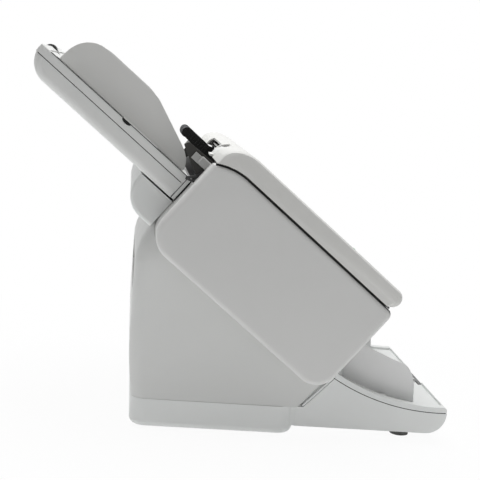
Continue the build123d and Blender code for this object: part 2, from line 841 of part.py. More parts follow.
def roller(p, q, radius, shaft, spots, width, shaft_from, shaft_to, pulleys=()):
    """Steel shaft along X with rubber tyres, and a toothless belt pulley where it is driven."""
    with BuildPart() as turned:
        with BuildSketch(across(p, q, shaft_from)):
            Circle(shaft)
        extrude(amount=shaft_to - shaft_from)
        for x in spots:
            with BuildSketch(across(p, q, x)):
                Circle(radius)
            extrude(amount=width / 2, both=True)
        for x, pulley_radius in pulleys:
            with BuildSketch(across(p, q, x)):
                Circle(pulley_radius)
            extrude(amount=6)
    return turned.part


save(
    roller(
        transport_p[0], pinch_q, pinch_radius, pinch_shaft, tyre_spots, pinch_tyre_width,
        -pinch_half, pinch_half,
    ),
    "pinch_roller_rear",
)
save(
    roller(
        transport_p[1], pinch_q, pinch_radius, pinch_shaft, tyre_spots, pinch_tyre_width,
        -pinch_half, pinch_half,
    ),
    "pinch_roller_front",
)

# Driven rollers, with their belt pulleys outside the right frame

pulley_radius = 11.0
motor_pulley_radius = 8.0
eject_pulley_radius = 8.0
belt_x = frame_x + frame_thickness + cheek_thickness + 1.0
second_belt_x = belt_x + 8.0
shaft_left = -frame_x - frame_thickness - 1.0
shaft_right = second_belt_x + 7.0

feed_pulley_radius = 7.0

save(
    roller(
        feed_p, feed_q, feed_radius, shaft_radius, feed_tyre_spots, tyre_width,
        shaft_left - cheek_thickness, -shaft_left + cheek_thickness,
        [(feed_belt_x, feed_pulley_radius)],
    ),
    "feed_roller",
)
save(
    roller(
        feed_p, separation_q, feed_radius, shaft_radius, feed_tyre_spots, tyre_width,
        shaft_left - cheek_thickness, -shaft_left + cheek_thickness,
    ),
    "separation_roller",
)
save(
    roller(
        transport_p[0], transport_q, transport_radius, shaft_radius, tyre_spots, tyre_width,
        shaft_left, belt_x + 7, [(belt_x, pulley_radius)],
    ),
    "transport_roller_rear",
)
save(
    roller(
        transport_p[1], transport_q, transport_radius, shaft_radius, tyre_spots, tyre_width,
        shaft_left, shaft_right, [(belt_x, pulley_radius), (second_belt_x, eject_pulley_radius)],
    ),
    "transport_roller_front",
)
save(
    roller(
        eject_p, eject_q, transport_radius, shaft_radius, tyre_spots, tyre_width,
        shaft_left, shaft_right, [(second_belt_x, eject_pulley_radius)],
    ),
    "eject_roller",
)

# Motors inside the frames, their pulleys and the flat belts

motor_depth = 38.0
feed_motor_p = -98.0
feed_motor_q = 12.0
feed_motor_radius = 15.0
feed_motor_depth = 24.0

with BuildPart() as drive_motors:
    with BuildSketch(across(motor_p, motor_q, frame_x)):
        Circle(motor_radius)
    extrude(amount=-motor_depth)
    with BuildSketch(across(motor_p, motor_q, frame_x)):
        Circle(motor_radius / 2 - 0.3)
    extrude(amount=frame_thickness + 1)
    with BuildSketch(across(motor_p, motor_q, frame_x + frame_thickness + 1)):
        Circle(shaft_radius + running_fit)
    extrude(amount=-motor_depth / 2, mode=Mode.SUBTRACT)
    with BuildSketch(across(feed_motor_p, feed_motor_q, -frame_x)):
        Circle(feed_motor_radius)
    extrude(amount=feed_motor_depth)
    with BuildSketch(across(feed_motor_p, feed_motor_q, -frame_x + feed_motor_depth)):
        Circle(shaft_radius + running_fit)
    extrude(amount=-feed_motor_depth / 2, mode=Mode.SUBTRACT)
save(drive_motors.part, "drive_motors")

save(
    roller(
        motor_p, motor_q, motor_pulley_radius, shaft_radius, (), 0,
        frame_x - motor_depth / 2 + frame_thickness + 2, belt_x + 7,
        [(belt_x, motor_pulley_radius)],
    ),
    "motor_pulley",
)
save(
    roller(
        feed_motor_p, feed_motor_q, feed_pulley_radius, shaft_radius, (), 0,
        -frame_x + feed_motor_depth / 2 + 1, feed_belt_x + 7,
        [(feed_belt_x, feed_pulley_radius - 1)],
    ),
    "feed_motor_pulley",
)

belt_thickness = 1.5


def belt(x, wheels):
    """Flat belt around a set of pulleys, given as (P, Q, radius)."""
    with BuildPart() as loop:
        with BuildSketch(slope(x + 1.0)):
            with BuildSketch(mode=Mode.PRIVATE) as outer:
                for p, q, radius in wheels:
                    with Locations((p, q)):
                        Circle(radius + running_fit + belt_thickness)
                make_hull()
            with BuildSketch(mode=Mode.PRIVATE) as inner:
                for p, q, radius in wheels:
                    with Locations((p, q)):
                        Circle(radius + running_fit)
                make_hull()
            add(outer.sketch)
            add(inner.sketch, mode=Mode.SUBTRACT)
        extrude(amount=-4.0)
    return loop.part


main_belt = belt(
    belt_x,
    [
        (motor_p, motor_q, motor_pulley_radius),
        (transport_p[0], transport_q, pulley_radius),
        (transport_p[1], transport_q, pulley_radius),
    ],
)
feed_belt = belt(
    feed_belt_x,
    [
        (feed_p, feed_q, feed_pulley_radius),
        (feed_motor_p, feed_motor_q, feed_pulley_radius - 1),
    ],
)
eject_belt = belt(
    second_belt_x,
    [
        (eject_p, eject_q, eject_pulley_radius),
        (transport_p[1], transport_q, eject_pulley_radius),
    ],
)
save(Compound(children=[main_belt, feed_belt, eject_belt]), "drive_belts")

# Release latch in the cover: a shaft with two hooks under the deck and one paddle

hook_half = 3.0
paddle_gap = 2.0
latch_end = cover_half - cover_wall - 4.0
hook_corners = (
    (-2.0, 0.0), (-2.0, -24.5), (6.5, -24.5), (10.0, -21.0), (10.0, -18.0), (2.0, -16.5),
    (2.0, 0.0),
)
paddle_corners = (
    (0.0, 3.0), (-13.0, 1.5), (-19.5, -2.5), (-23.0, -9.0), (-23.0, -17.5), (-27.5, -20.5),
    (-26.0, -22.5), (-20.0, -19.5), (-19.5, -9.5), (-15.5, -4.0), (0.0, -3.0),
)

with BuildPart() as latch:
    with BuildSketch(across(latch_p, latch_q, -latch_end)):
        Circle(shaft_radius)
    extrude(amount=2 * latch_end)
    for side in (-1, 1):
        with BuildSketch(slope(side * hook_x)) as hook_face:
            with BuildLine():
                Polyline(*[(latch_p + dp, latch_q + dq) for dp, dq in hook_corners], close=True)
            make_face()
            with Locations((latch_p, latch_q)):
                Circle(shaft_radius + 2)
        extrude(amount=hook_half, both=True)
    with BuildSketch(slope(paddle_right - paddle_gap)):
        with BuildLine():
            Polyline(*[(latch_p + dp, latch_q + dq) for dp, dq in paddle_corners], close=True)
        make_face()
    extrude(amount=paddle_right - paddle_left - 2 * paddle_gap)
save(latch.part, "release_latch")

# Operator panel on the cover, with a display window and two buttons

panel_mid_p = (panel_rear_p + panel_front_p) / 2
display_x = -panel_half + 80.0
display_p = 62.0
display_width = 84.0
display_length = 34.0
display_depth = 0.9

with BuildPart() as operator_panel:
    with BuildSketch(tilted(cover_top, panel_mid_p)):
        RectangleRounded(2 * panel_half, panel_front_p - panel_rear_p, 8.0)
    extrude(amount=panel_proud)
    chamfer(operator_panel.faces().sort_by(lambda f: slope_q(f.center()))[-1].edges(), 0.5)
    with BuildSketch(tilted(cover_top + panel_proud, display_p, display_x)):
        RectangleRounded(display_width, display_length, 2.0)
    extrude(amount=-display_depth, mode=Mode.SUBTRACT)
    for x, p, radius in button_spots.values():
        with BuildSketch(tilted(cover_top, p, x)):
            Circle(radius + soft_gap)
        extrude(amount=2 * panel_proud, mode=Mode.SUBTRACT)
save(operator_panel.part, "operator_panel")

with BuildPart() as display_window:
    with BuildSketch(tilted(cover_top + panel_proud - display_depth, display_p, display_x)):
        RectangleRounded(display_width - 0.2, display_length - 0.2, 1.9)
    extrude(amount=display_depth)
save(display_window.part, "display_window")

for label, (x, p, radius) in button_spots.items():
    with BuildPart() as button:
        with BuildSketch(tilted(cover_top + button_travel + 0.2, p, x)):
            Circle(radius)
        extrude(amount=1.9)
        chamfer(button.edges().sort_by(lambda e: slope_q(e.center()))[-1], 0.5)
        with BuildSketch(tilted(cover_top + button_travel + 0.2, p, x)):
            Circle(stem_radius)
        extrude(amount=-cover_wall - button_travel - 1.7)
        with BuildSketch(tilted(cover_top - cover_wall - running_fit, p, x)):
            Circle(stem_radius + 2)
        extrude(amount=-1.5)
    save(button.part, label)

# Pick arm over the hopper, carried on the feed shaft, with its rollers

pick_p = feed_p - 59.0
pick_q = feed_q + 2.0
pick_shaft = 2.0
arm_inner = 40.0
arm_outer = 43.5
arm_radius = 7.0

with BuildPart() as pick_arm:
    for side in (-1, 1):
        with BuildSketch(slope(side * arm_outer)):
            with Locations((pick_p, pick_q + 1), (pick_p + 34.0, pick_q + 1)):
                Circle(arm_radius)
            with Locations((feed_p, feed_q)):
                Circle(arm_radius + 1)
            make_hull()
            with Locations((feed_p, feed_q)):
                Circle(shaft_radius + running_fit, mode=Mode.SUBTRACT)
            with Locations((pick_p, pick_q)):
                Circle(pick_shaft + running_fit, mode=Mode.SUBTRACT)
        extrude(amount=side * (arm_outer - arm_inner))
    with BuildSketch(slope()):
        with Locations((-178.0, 68.0)):
            RectangleRounded(16.0, 4.0, 1.5)
    extrude(amount=arm_inner, both=True)
save(pick_arm.part, "pick_arm")

save(
    roller(
        pick_p, pick_q, pick_radius, pick_shaft, feed_tyre_spots, tyre_width,
        -arm_outer - 1, arm_outer + 1,
    ),
    "pick_rollers",
)

# Level lever: small bent lever on the left feed cheek, beside the hopper's end

lever_face = -frame_x - frame_thickness - cheek_thickness - 0.1

with BuildPart() as level_lever:
    with BuildSketch(slope(lever_face)):
        with Locations((lever_p, lever_q)):
            Circle(4.0)
        with BuildLine():
            Polyline(
                (-158.0, 38.0), (-158.0, 35.0), (-169.0, 21.0), (-167.5, 17.5), (-152.5, 22.0),
                (-153.5, 25.0), (-163.0, 22.2), (-152.0, 35.0), (-152.0, 38.0), close=True,
            )
        make_face()
    extrude(amount=2.5)
    with BuildSketch(slope(lever_face)):
        with Locations((lever_p, lever_q)):
            Circle(lever_pin)
    extrude(amount=-cheek_thickness)
save(level_lever.part, "level_lever")

# Lift: motor and screw in the middle, a guide rod at each side

rod_top = 16.0
lift_motor_depth = 26.0

with BuildPart() as lift_motor:
    with BuildSketch(tilted(lift_seat_q, lift_p)):
        Circle(11.0)
    extrude(amount=lift_motor_depth)
    with BuildSketch(tilted(lift_seat_q + lift_motor_depth, lift_p)):
        Circle(screw_radius + running_fit)
    extrude(amount=-lift_motor_depth / 2, mode=Mode.SUBTRACT)
save(lift_motor.part, "lift_motor")

with BuildPart() as lift_screw:
    with BuildSketch(tilted(lift_seat_q + lift_motor_depth / 2 + 1, lift_p)):
        Circle(screw_radius)
    extrude(amount=rod_top - lift_seat_q - lift_motor_depth / 2 - 1)
save(lift_screw.part, "lift_screw")

with BuildPart() as lift_rods:
    with BuildSketch(tilted(lift_seat_q, lift_p)):
        with Locations((-rod_x, 0), (rod_x, 0)):
            Circle(rod_radius)
    extrude(amount=rod_top - lift_seat_q)
save(lift_rods.part, "lift_rods")

# Hopper: lower tub, upper shell with the paper surface, guides and extension

hopper_front_p = -half_length - hopper_end_gap
hopper_rear_p = hopper_front_p - hopper_length
hopper_mid_p = (hopper_front_p + hopper_rear_p) / 2
hopper_half = hopper_width / 2
hopper_seam_q = hopper_surface_q - hopper_top_depth
hopper_under_q = hopper_seam_q - 0.5 - hopper_base_depth + 0.15
surface_under_q = hopper_surface_q - dish_depth - 3.0
rail_front_p = hopper_rear_p + 121.3
hopper_end_q = hopper_under_q + hopper_end_round
hopper_end_p = hopper_rear_p + sqrt(hopper_end_round**2 - (hopper_end_q - hopper_seam_q) ** 2)
extension_q = 12.0
boss_radius = 9.0


def hopper_tub(inset, high):
    """Solid of the lower tub, rounded underneath, drawn inset by a wall."""
    front = hopper_front_p - hopper_wall - part_gap - inset
    low = hopper_under_q + inset
    reach = sqrt((hopper_end_round - inset) ** 2 - (hopper_end_q - high) ** 2)
    with BuildPart() as tub:
        with BuildSketch(slope()):
            with BuildLine():
                Polyline(
                    (hopper_end_p - reach, high), (front, high), (front, low), (hopper_end_p, low)
                )
                RadiusArc((hopper_end_p, low), (hopper_end_p - reach, high), hopper_end_round - inset)
            make_face()
        extrude(amount=hopper_half - inset, both=True)
        rims = tub.edges().group_by(Axis.X)
        soft = [
            e for e in rims[0] + rims[-1]
            if slope_q(e.center()) < high - 1 and slope_p(e.center()) < front - 1
        ]
        fillet(soft, hopper_side_round - inset)
    return tub.part


post_x = hopper_half - 20.0
post_spots = [
    (side * post_x, p)
    for side in (-1, 1)
    for p in (hopper_rear_p + 39.3, hopper_front_p - 43.7)
] + [(0.0, hopper_front_p - 70.7)]
extension_slot_half = extension_width / 2 + soft_gap

with BuildPart() as hopper_base:
    add(hopper_tub(0.0, hopper_seam_q - 0.5))
    add(hopper_tub(hopper_wall, hopper_seam_q + 5), mode=Mode.SUBTRACT)
    for x, p in post_spots:
        with BuildSketch(tilted(hopper_under_q + hopper_wall - 0.5, p, x)):
            Circle(4.0)
        extrude(amount=surface_under_q - hopper_under_q - hopper_wall + 0.5)
    for side in (-1, 1):
        with BuildSketch(slope(side * (extension_slot_half - 3.0))):
            with Locations((hopper_rear_p + 30, hopper_under_q + hopper_wall - 0.5)):
                Rectangle(
                    rail_front_p - hopper_rear_p - 30,
                    surface_under_q - hopper_under_q - hopper_wall - 0.5,
                    align=(Align.MIN, Align.MIN),
                )
        extrude(amount=-side * 6.0)
    with BuildSketch(tilted(extension_q - soft_gap, hopper_rear_p + 60)):
        Rectangle(2 * extension_slot_half, 200)
    extrude(amount=extension_thickness + 2 * soft_gap, mode=Mode.SUBTRACT)
    with BuildSketch(tilted(hopper_under_q - 9.0, lift_p)):
        with Locations(*lift_spots):
            Circle(boss_radius)
    extrude(amount=hopper_seam_q - hopper_under_q)
    with BuildSketch(tilted(hopper_under_q - 10.0, lift_p)):
        with Locations(*lift_spots):
            Circle(rod_radius + running_fit)
    extrude(amount=60, mode=Mode.SUBTRACT)
save(hopper_base.part, "hopper_base")

dish_half = hopper_half - 15.0
dish_rear_p = hopper_rear_p + 12.0
slot_p = -250.0
slot_half = 6.0
stem_x = guide_inner_x + 8.0
stem_half = 3.0
notch_front_p = hopper_rear_p + 16.3
lip_low_q = -12.0

with BuildPart() as hopper_top:
    with BuildSketch(tilted(hopper_seam_q, hopper_mid_p)):
        Rectangle(hopper_width, hopper_length)
    extrude(amount=hopper_top_depth)
    chamfer(hopper_top.faces().sort_by(lambda f: slope_q(f.center()))[-1].edges(), 1.0)
    with BuildSketch(tilted(hopper_seam_q, hopper_mid_p)):
        Rectangle(hopper_width - 2 * hopper_wall, hopper_length - 2 * hopper_wall)
    extrude(amount=surface_under_q - hopper_seam_q, mode=Mode.SUBTRACT)
    with BuildSketch(slope()):
        with Locations((dish_rear_p, hopper_surface_q - dish_depth)):
            Rectangle(hopper_length, 10, align=(Align.MIN, Align.MIN))
    extrude(amount=dish_half, both=True, mode=Mode.SUBTRACT)
    with BuildSketch(slope()):
        with Locations((hopper_front_p, lip_low_q)):
            Rectangle(
                hopper_wall, hopper_surface_q - dish_depth - lip_low_q,
                align=(Align.MAX, Align.MIN),
            )
    extrude(amount=hopper_half - hopper_side_round, both=True)
    for side in (-1, 1):
        with BuildSketch(
            tilted(hopper_surface_q, slot_p, side * (stem_x - guide_travel / 2))
        ):
            Rectangle(guide_travel + 2 * stem_half + 4, 2 * slot_half)
        extrude(amount=-2 * hopper_wall - dish_depth, mode=Mode.SUBTRACT)
    with BuildSketch(slope()):
        with Locations((hopper_rear_p, extension_q - 2 * soft_gap)):
            Rectangle(
                4 * hopper_wall, extension_thickness + 4 * soft_gap, align=(Align.CENTER, Align.MIN)
            )
    extrude(amount=extension_slot_half, both=True, mode=Mode.SUBTRACT)
    with BuildSketch(slope()):
        with Locations((notch_front_p, extension_q - 2 * soft_gap)):
            Rectangle(60, 30, align=(Align.MAX, Align.MIN))
    extrude(amount=knob_width / 2 + 4, both=True, mode=Mode.SUBTRACT)
save(hopper_top.part, "hopper_top")

with BuildPart() as extension:
    with BuildSketch(tilted(extension_q, hopper_rear_p - 2.3 + (rail_front_p - hopper_rear_p) / 2)):
        Rectangle(extension_width, rail_front_p - hopper_rear_p)
    extrude(amount=extension_thickness)
save(extension.part, "hopper_extension")

knob_p = hopper_rear_p + 3.7
knob_base_q = extension_q + extension_thickness

with BuildPart() as knob:
    with BuildSketch(slope()):
        with Locations((knob_p, knob_base_q)):
            Circle(knob_radius)
        with Locations((knob_p, knob_base_q)):
            Rectangle(
                2 * knob_radius, knob_radius, align=(Align.CENTER, Align.MAX), mode=Mode.SUBTRACT
            )
    extrude(amount=knob_width / 2, both=True)
    for x in (-6.0, 0.0, 6.0):
        with BuildSketch(slope(x)):
            with Locations((knob_p, knob_base_q)):
                Circle(knob_radius + 1)
                Circle(knob_radius - 0.8, mode=Mode.SUBTRACT)
            with Locations((knob_p, knob_base_q + 1)):
                Rectangle(
                    3 * knob_radius, 2 * knob_radius, align=(Align.CENTER, Align.MAX),
                    mode=Mode.SUBTRACT,
                )
        extrude(amount=0.8, both=True, mode=Mode.SUBTRACT)
save(knob.part, "pull_knob")

guide_foot_q = hopper_surface_q - dish_depth + soft_gap
blade_rear = (
    (27.3, 8.1), (29.8, 22.1), (35.3, 33.6), (43.3, 43.1), (54.3, 49.4), (66.3, 51.3),
)
blade_front = (
    (-113.7, 51.3), (-100.7, 49.6), (-36.7, 25.1), (-17.7, 14.6), (-12.4, 3.1),
)


def hopper_guide(side):
    """One paper guide of the hopper with its foot and the stem through the slot."""
    with BuildPart() as guide:
        with BuildSketch(slope(side * guide_inner_x)) as blade:
            with BuildLine():
                Polyline(
                    (hopper_rear_p + 27.3, guide_foot_q),
                    *[(hopper_rear_p + dp, hopper_surface_q + dq) for dp, dq in blade_rear],
                    *[(hopper_front_p + dp, hopper_surface_q + dq) for dp, dq in blade_front],
                    (hopper_front_p - 12.4, guide_foot_q), close=True,
                )
            make_face()
        extrude(amount=-side * guide_thickness)
        with BuildSketch(tilted(guide_foot_q, slot_p, side * stem_x)):
            Rectangle(2 * (stem_x - guide_inner_x) - guide_thickness, 60)
        extrude(amount=2.0)
        with BuildSketch(tilted(guide_foot_q + 1, slot_p, side * stem_x)):
            Rectangle(2 * stem_half, 2 * slot_half - 1)
        extrude(amount=surface_under_q - guide_foot_q - 4.5)
        with BuildSketch(tilted(surface_under_q - 0.5, slot_p, side * stem_x)):
            Rectangle(12, 4 * slot_half)
        extrude(amount=-3.0)
    return guide.part


save(hopper_guide(-1), "hopper_guide_left")
save(hopper_guide(1), "hopper_guide_right")

# Output tray: lower hull, upper rim with the paper surface, guides, flap and extension

tray_radius = 289.0
tray_center = (285.0, tray_low_z + tray_radius)
tray_half = tray_width / 2
tray_nose = -tray_nose_y
nose_arc_radius = 28.0
nose_arc_u = tray_nose + 0.2 - nose_arc_radius
nose_lip_radius = 4.5
tray_rear_u = -plinth_front_y + 1.5
slant_run = stand_front_top[0] - stand_front_foot[0]
slant_rise = stand_front_top[1] - stand_front_foot[1]
slant_gap = 2.0
slant_band = 8.0
surface_drop = 3.5
surface_radius = tray_radius + surface_drop
tray_seam = 0.6
tray_shoulder_z = stand_floor - 0.5


def beyond_slant(shift):
    """Sketch of everything in front of the stand's sloping front edge, moved by a shift."""
    foot_u = stand_front_foot[0] + shift
    lean = slant_run / slant_rise
    with BuildSketch() as region:
        with BuildLine():
            Polyline(
                (foot_u - 50 * lean, stand_floor - 50), (foot_u + 110 * lean, stand_floor + 110),
                (400, stand_floor + 110), (400, stand_floor - 50), close=True,
            )
        make_face()
    return region.sketch


def tray_hull(inset, top_radius):
    """Side outline of the tray's lower hull, drawn inset by a wall."""
    low = tray_underside + inset
    with BuildSketch() as face:
        with Locations((tray_rear_u + inset, low)):
            Rectangle(nose_arc_u - tray_rear_u - inset, 100, align=(Align.MIN, Align.MIN))
        with Locations((nose_arc_u, low + nose_arc_radius - inset)):
            Circle(nose_arc_radius - inset)
        with BuildSketch(mode=Mode.PRIVATE) as above:
            with Locations((0, tray_shoulder_z - inset)):
                Rectangle(800, 200, align=(Align.CENTER, Align.MIN))
            add(beyond_slant(slant_gap + slant_band + 1.0 + 1.4 * inset), mode=Mode.SUBTRACT)
        add(above.sketch, mode=Mode.SUBTRACT)
        with Locations(tray_center):
            Circle(top_radius, mode=Mode.SUBTRACT)
    return face.sketch


rail_x = 49.0
pull_half = 48.0
pull_z = 40.0
pull_thickness = 3.0
pull_rear_u = 190.0
notch_u = tray_nose - tray_notch_depth
tray_post_x = tray_half - 20.0
tray_posts = [(side * tray_post_x, y) for side in (-1, 1) for y in (-150.0, -265.0)] + [(0.0, -165.0)]

with BuildPart() as tray_lower:
    with BuildSketch(upright()):
        add(tray_hull(0.0, tray_radius + tray_rim + tray_seam))
    extrude(amount=tray_half, both=True)
    with BuildSketch(upright()):
        add(tray_hull(tray_wall, tray_radius - 2))
    extrude(amount=tray_half - tray_wall, both=True, mode=Mode.SUBTRACT)
    with BuildSketch(Plane.XY.offset(tray_underside + tray_wall - 0.5)):
        with Locations(*tray_posts):
            Circle(5.0)
        for side in (-1, 1):
            with Locations((side * (rail_x + 0.5), -(pull_rear_u + nose_arc_u) / 2 - 4)):
                Rectangle(7.0, nose_arc_u - pull_rear_u)
    extrude(amount=80)
    with BuildSketch(Plane.XY.offset(pull_z + pull_thickness + 2 * soft_gap + 2.0)):
        with Locations((0, -(pull_rear_u + notch_u) / 2)):
            Rectangle(2 * rail_x + 20, notch_u - pull_rear_u)
    extrude(amount=80, mode=Mode.SUBTRACT)
    with BuildSketch(upright()):
        with Locations(tray_center):
            Circle(tray_radius + tray_rim + 0.15)
    extrude(amount=tray_half, both=True, mode=Mode.SUBTRACT)
    with BuildSketch(Plane.XY.offset(pull_z - soft_gap)):
        with Locations((0, -(pull_rear_u + 400) / 2)):
            Rectangle(2 * (pull_half + soft_gap), 400 - pull_rear_u)
    extrude(amount=pull_thickness + 2 * soft_gap, mode=Mode.SUBTRACT)
    with BuildSketch(upright()):
        with Locations((notch_u, 35.0)):
            Rectangle(40, 60, align=(Align.MIN, Align.MIN))
    extrude(amount=tray_notch_width / 2, both=True, mode=Mode.SUBTRACT)
    for side in (-1, 1):
        with BuildSketch(upright(side * 90.0)):
            with Locations((-plinth_front_y, 22.0)):
                Rectangle(1.5 + tray_wall / 2, 14.0, align=(Align.MIN, Align.MIN))
        extrude(amount=20, both=True)
save(tray_lower.part, "tray_lower")

guide_slot_u = 209.0
tray_stem_x = guide_inner_x + 8.0
flap_u = tray_nose - 12.0
flap_z = tray_center[1] - surface_radius + 2.6
flap_half = 30.0
flap_pin = 1.5

with BuildPart() as tray_top:
    with BuildSketch(upright()) as rim:
        with Locations(tray_center):
            Circle(tray_radius + tray_rim)
            Circle(tray_radius, mode=Mode.SUBTRACT)
        with Locations((0, 95)):
            Rectangle(1000, 800, align=(Align.CENTER, Align.MIN), mode=Mode.SUBTRACT)
        with Locations((tray_nose, 0)):
            Rectangle(300, 300, align=(Align.MIN, Align.CENTER), mode=Mode.SUBTRACT)
        add(beyond_slant(slant_gap), mode=Mode.INTERSECT)
        fillet(rim.vertices().group_by(Axis.X)[-1].sort_by(Axis.Y)[-1], nose_lip_radius)
    extrude(amount=tray_half, both=True)
    with BuildSketch(upright()) as leg:
        with Locations((0, stand_floor + 1.0)):
            Rectangle(600, 60, align=(Align.CENTER, Align.MIN))
        add(beyond_slant(slant_gap), mode=Mode.INTERSECT)
        add(beyond_slant(slant_gap + slant_band), mode=Mode.SUBTRACT)
        with Locations(tray_center):
            Circle(tray_radius + tray_rim / 2, mode=Mode.SUBTRACT)
    extrude(amount=tray_half, both=True)
    with BuildSketch(upright()):
        with Locations(tray_center):
            Circle(surface_radius)
        add(beyond_slant(slant_gap + 12), mode=Mode.INTERSECT)
        with Locations((tray_nose - 4.0, 0)):
            Rectangle(300, 300, align=(Align.MIN, Align.CENTER), mode=Mode.SUBTRACT)
    extrude(amount=tray_half - 14.0, both=True, mode=Mode.SUBTRACT)
    with BuildSketch(upright()):
        with Locations((notch_u, 0)):
            Rectangle(40, 200, align=(Align.MIN, Align.MIN))
    extrude(amount=tray_notch_width / 2, both=True, mode=Mode.SUBTRACT)
    for side in (-1, 1):
        with BuildSketch(
            Plane.XY.offset(30).move(Location((side * (tray_stem_x - guide_travel / 2),
                                               -guide_slot_u, 0)))
        ):
            Rectangle(guide_travel + 2 * stem_half + 4, 2 * slot_half)
        extrude(amount=60, mode=Mode.SUBTRACT)
        with BuildSketch(upright(side * (flap_half + 2.2))):
            with Locations((flap_u, flap_z)):
                Circle(2.6)
            with Locations((flap_u, flap_z)):
                Rectangle(5.2, 4.0, align=(Align.CENTER, Align.MAX))
            with Locations((flap_u, flap_z)):
                Circle(flap_pin + running_fit, mode=Mode.SUBTRACT)
        extrude(amount=1.8, both=True)
save(tray_top.part, "tray_top")

with BuildPart() as flap:
    with BuildSketch(upright()):
        with Locations((flap_u, flap_z)):
            Circle(2.0)
        with Locations((flap_u, flap_z)):
            Rectangle(28.0, 2.0, align=(Align.MAX, Align.CENTER))
    extrude(amount=flap_half, both=True)
    with BuildSketch(Plane(origin=(-flap_half - 4.0, -flap_u, flap_z), z_dir=(1, 0, 0))):
        Circle(flap_pin)
    extrude(amount=2 * flap_half + 8.0)
save(flap.part, "output_stopper")

with BuildPart() as pull:
    with BuildSketch(Plane.XY.offset(pull_z)):
        with Locations((0, -(pull_rear_u + 4 + tray_nose - 2) / 2)):
            Rectangle(2 * pull_half, tray_nose - 2 - pull_rear_u - 4)
    extrude(amount=pull_thickness)
    with BuildSketch(upright()):
        with Locations((notch_u + 1.0, 36.0)):
            Rectangle(6.0, 13.0, align=(Align.MIN, Align.MIN))
    extrude(amount=pull_half, both=True)
save(pull.part, "output_extension")


def output_guide(side):
    """One paper guide of the output tray with its foot and the stem through the slot."""
    sole_radius = surface_radius - soft_gap
    with BuildPart() as guide:
        with BuildSketch(upright(side * guide_inner_x)):
            with BuildLine():
                Polyline(
                    (152.0, 40.0), (152.0, 92.0), (160.0, 122.0), (167.0, 131.0), (179.0, 128.0),
                    (193.0, 121.5), (218.0, 111.0), (239.0, 103.5), (245.0, 99.0),
                    (252.0, 87.6), (255.5, 75.0), (257.0, 40.0), close=True,
                )
            make_face()
            with BuildSketch(mode=Mode.PRIVATE) as disc:
                with Locations(tray_center):
                    Circle(sole_radius)
            add(disc.sketch, mode=Mode.INTERSECT)
        extrude(amount=-side * guide_thickness)
        with BuildSketch(upright(side * (guide_inner_x + 1))):
            with Locations(tray_center):
                Circle(sole_radius)
                Circle(sole_radius - 2.0, mode=Mode.SUBTRACT)
            with BuildSketch(mode=Mode.PRIVATE) as span:
                with Locations((guide_slot_u, 0)):
                    Rectangle(50, 140)
            add(span.sketch, mode=Mode.INTERSECT)
        extrude(amount=-side * 13.0)
        with BuildSketch(upright(side * (tray_stem_x - stem_half))):
            with Locations((guide_slot_u, 52.5)):
                Rectangle(2 * slot_half - 1, 8.0, align=(Align.CENTER, Align.MIN))
        extrude(amount=-side * 2 * stem_half)
        with BuildSketch(upright(side * (tray_stem_x - 6))):
            with Locations(tray_center):
                Circle(tray_radius + tray_rim + 3.0)
                Circle(tray_radius + tray_rim + 0.5, mode=Mode.SUBTRACT)
            with BuildSketch(mode=Mode.PRIVATE) as sole:
                with Locations((guide_slot_u, 0)):
                    Rectangle(4 * slot_half, 140)
            add(sole.sketch, mode=Mode.INTERSECT)
        extrude(amount=-side * 12)
    return guide.part


save(output_guide(-1), "output_guide_left")
save(output_guide(1), "output_guide_right")

# Rear recess with the power inlet and the power switch

recess_depth = 14.0
recess_wall = 2.0
recess_back = 2.5
recess_mid_z = (recess_low + recess_high) / 2
inlet_spot = (-recess_half + 23.0, recess_mid_z)
inlet_width = 27.0
inlet_height = 20.0
switch_spot = (inlet_spot[0] + 45.0, recess_mid_z)
switch_width = 14.0
switch_height = 22.0
switch_tilt = 8.0
switch_axis_y = stand_rear_y - stand_wall - recess_depth + recess_back - 1.0

with BuildPart() as rear_panel:
    with BuildSketch(Plane.XZ.offset(-stand_rear_y + stand_wall)):
        with Locations((0, (recess_low + recess_high) / 2)):
            Rectangle(
                2 * (recess_half + recess_wall), recess_high - recess_low + 2 * recess_wall
            )
    extrude(amount=recess_depth)
    with BuildSketch(Plane.XZ.offset(-stand_rear_y + stand_wall)):
        with Locations((0, (recess_low + recess_high) / 2)):
            Rectangle(2 * recess_half, recess_high - recess_low)
    extrude(amount=recess_depth - recess_back, mode=Mode.SUBTRACT)
    with BuildSketch(Plane.XZ.offset(-stand_rear_y + stand_wall + recess_depth)):
        with Locations(switch_spot):
            Rectangle(switch_width + 5, switch_height + 5)
    extrude(amount=-recess_back - 2.0)
    with BuildSketch(Plane.XZ.offset(-stand_rear_y + stand_wall)):
        with Locations(inlet_spot):
            Rectangle(inlet_width, inlet_height)
        with Locations(switch_spot):
            Rectangle(switch_width + 2 * soft_gap, switch_height + 1.6)
    extrude(amount=recess_depth + 4.0, mode=Mode.SUBTRACT)
    with BuildSketch(
        Plane(origin=(switch_spot[0] - 10, switch_axis_y, switch_spot[1]), z_dir=(1, 0, 0))
    ):
        Circle(1.5 + running_fit)
    extrude(amount=20, mode=Mode.SUBTRACT)
save(rear_panel.part, "rear_panel")

inlet_face_y = stand_rear_y - stand_wall - recess_depth + recess_back

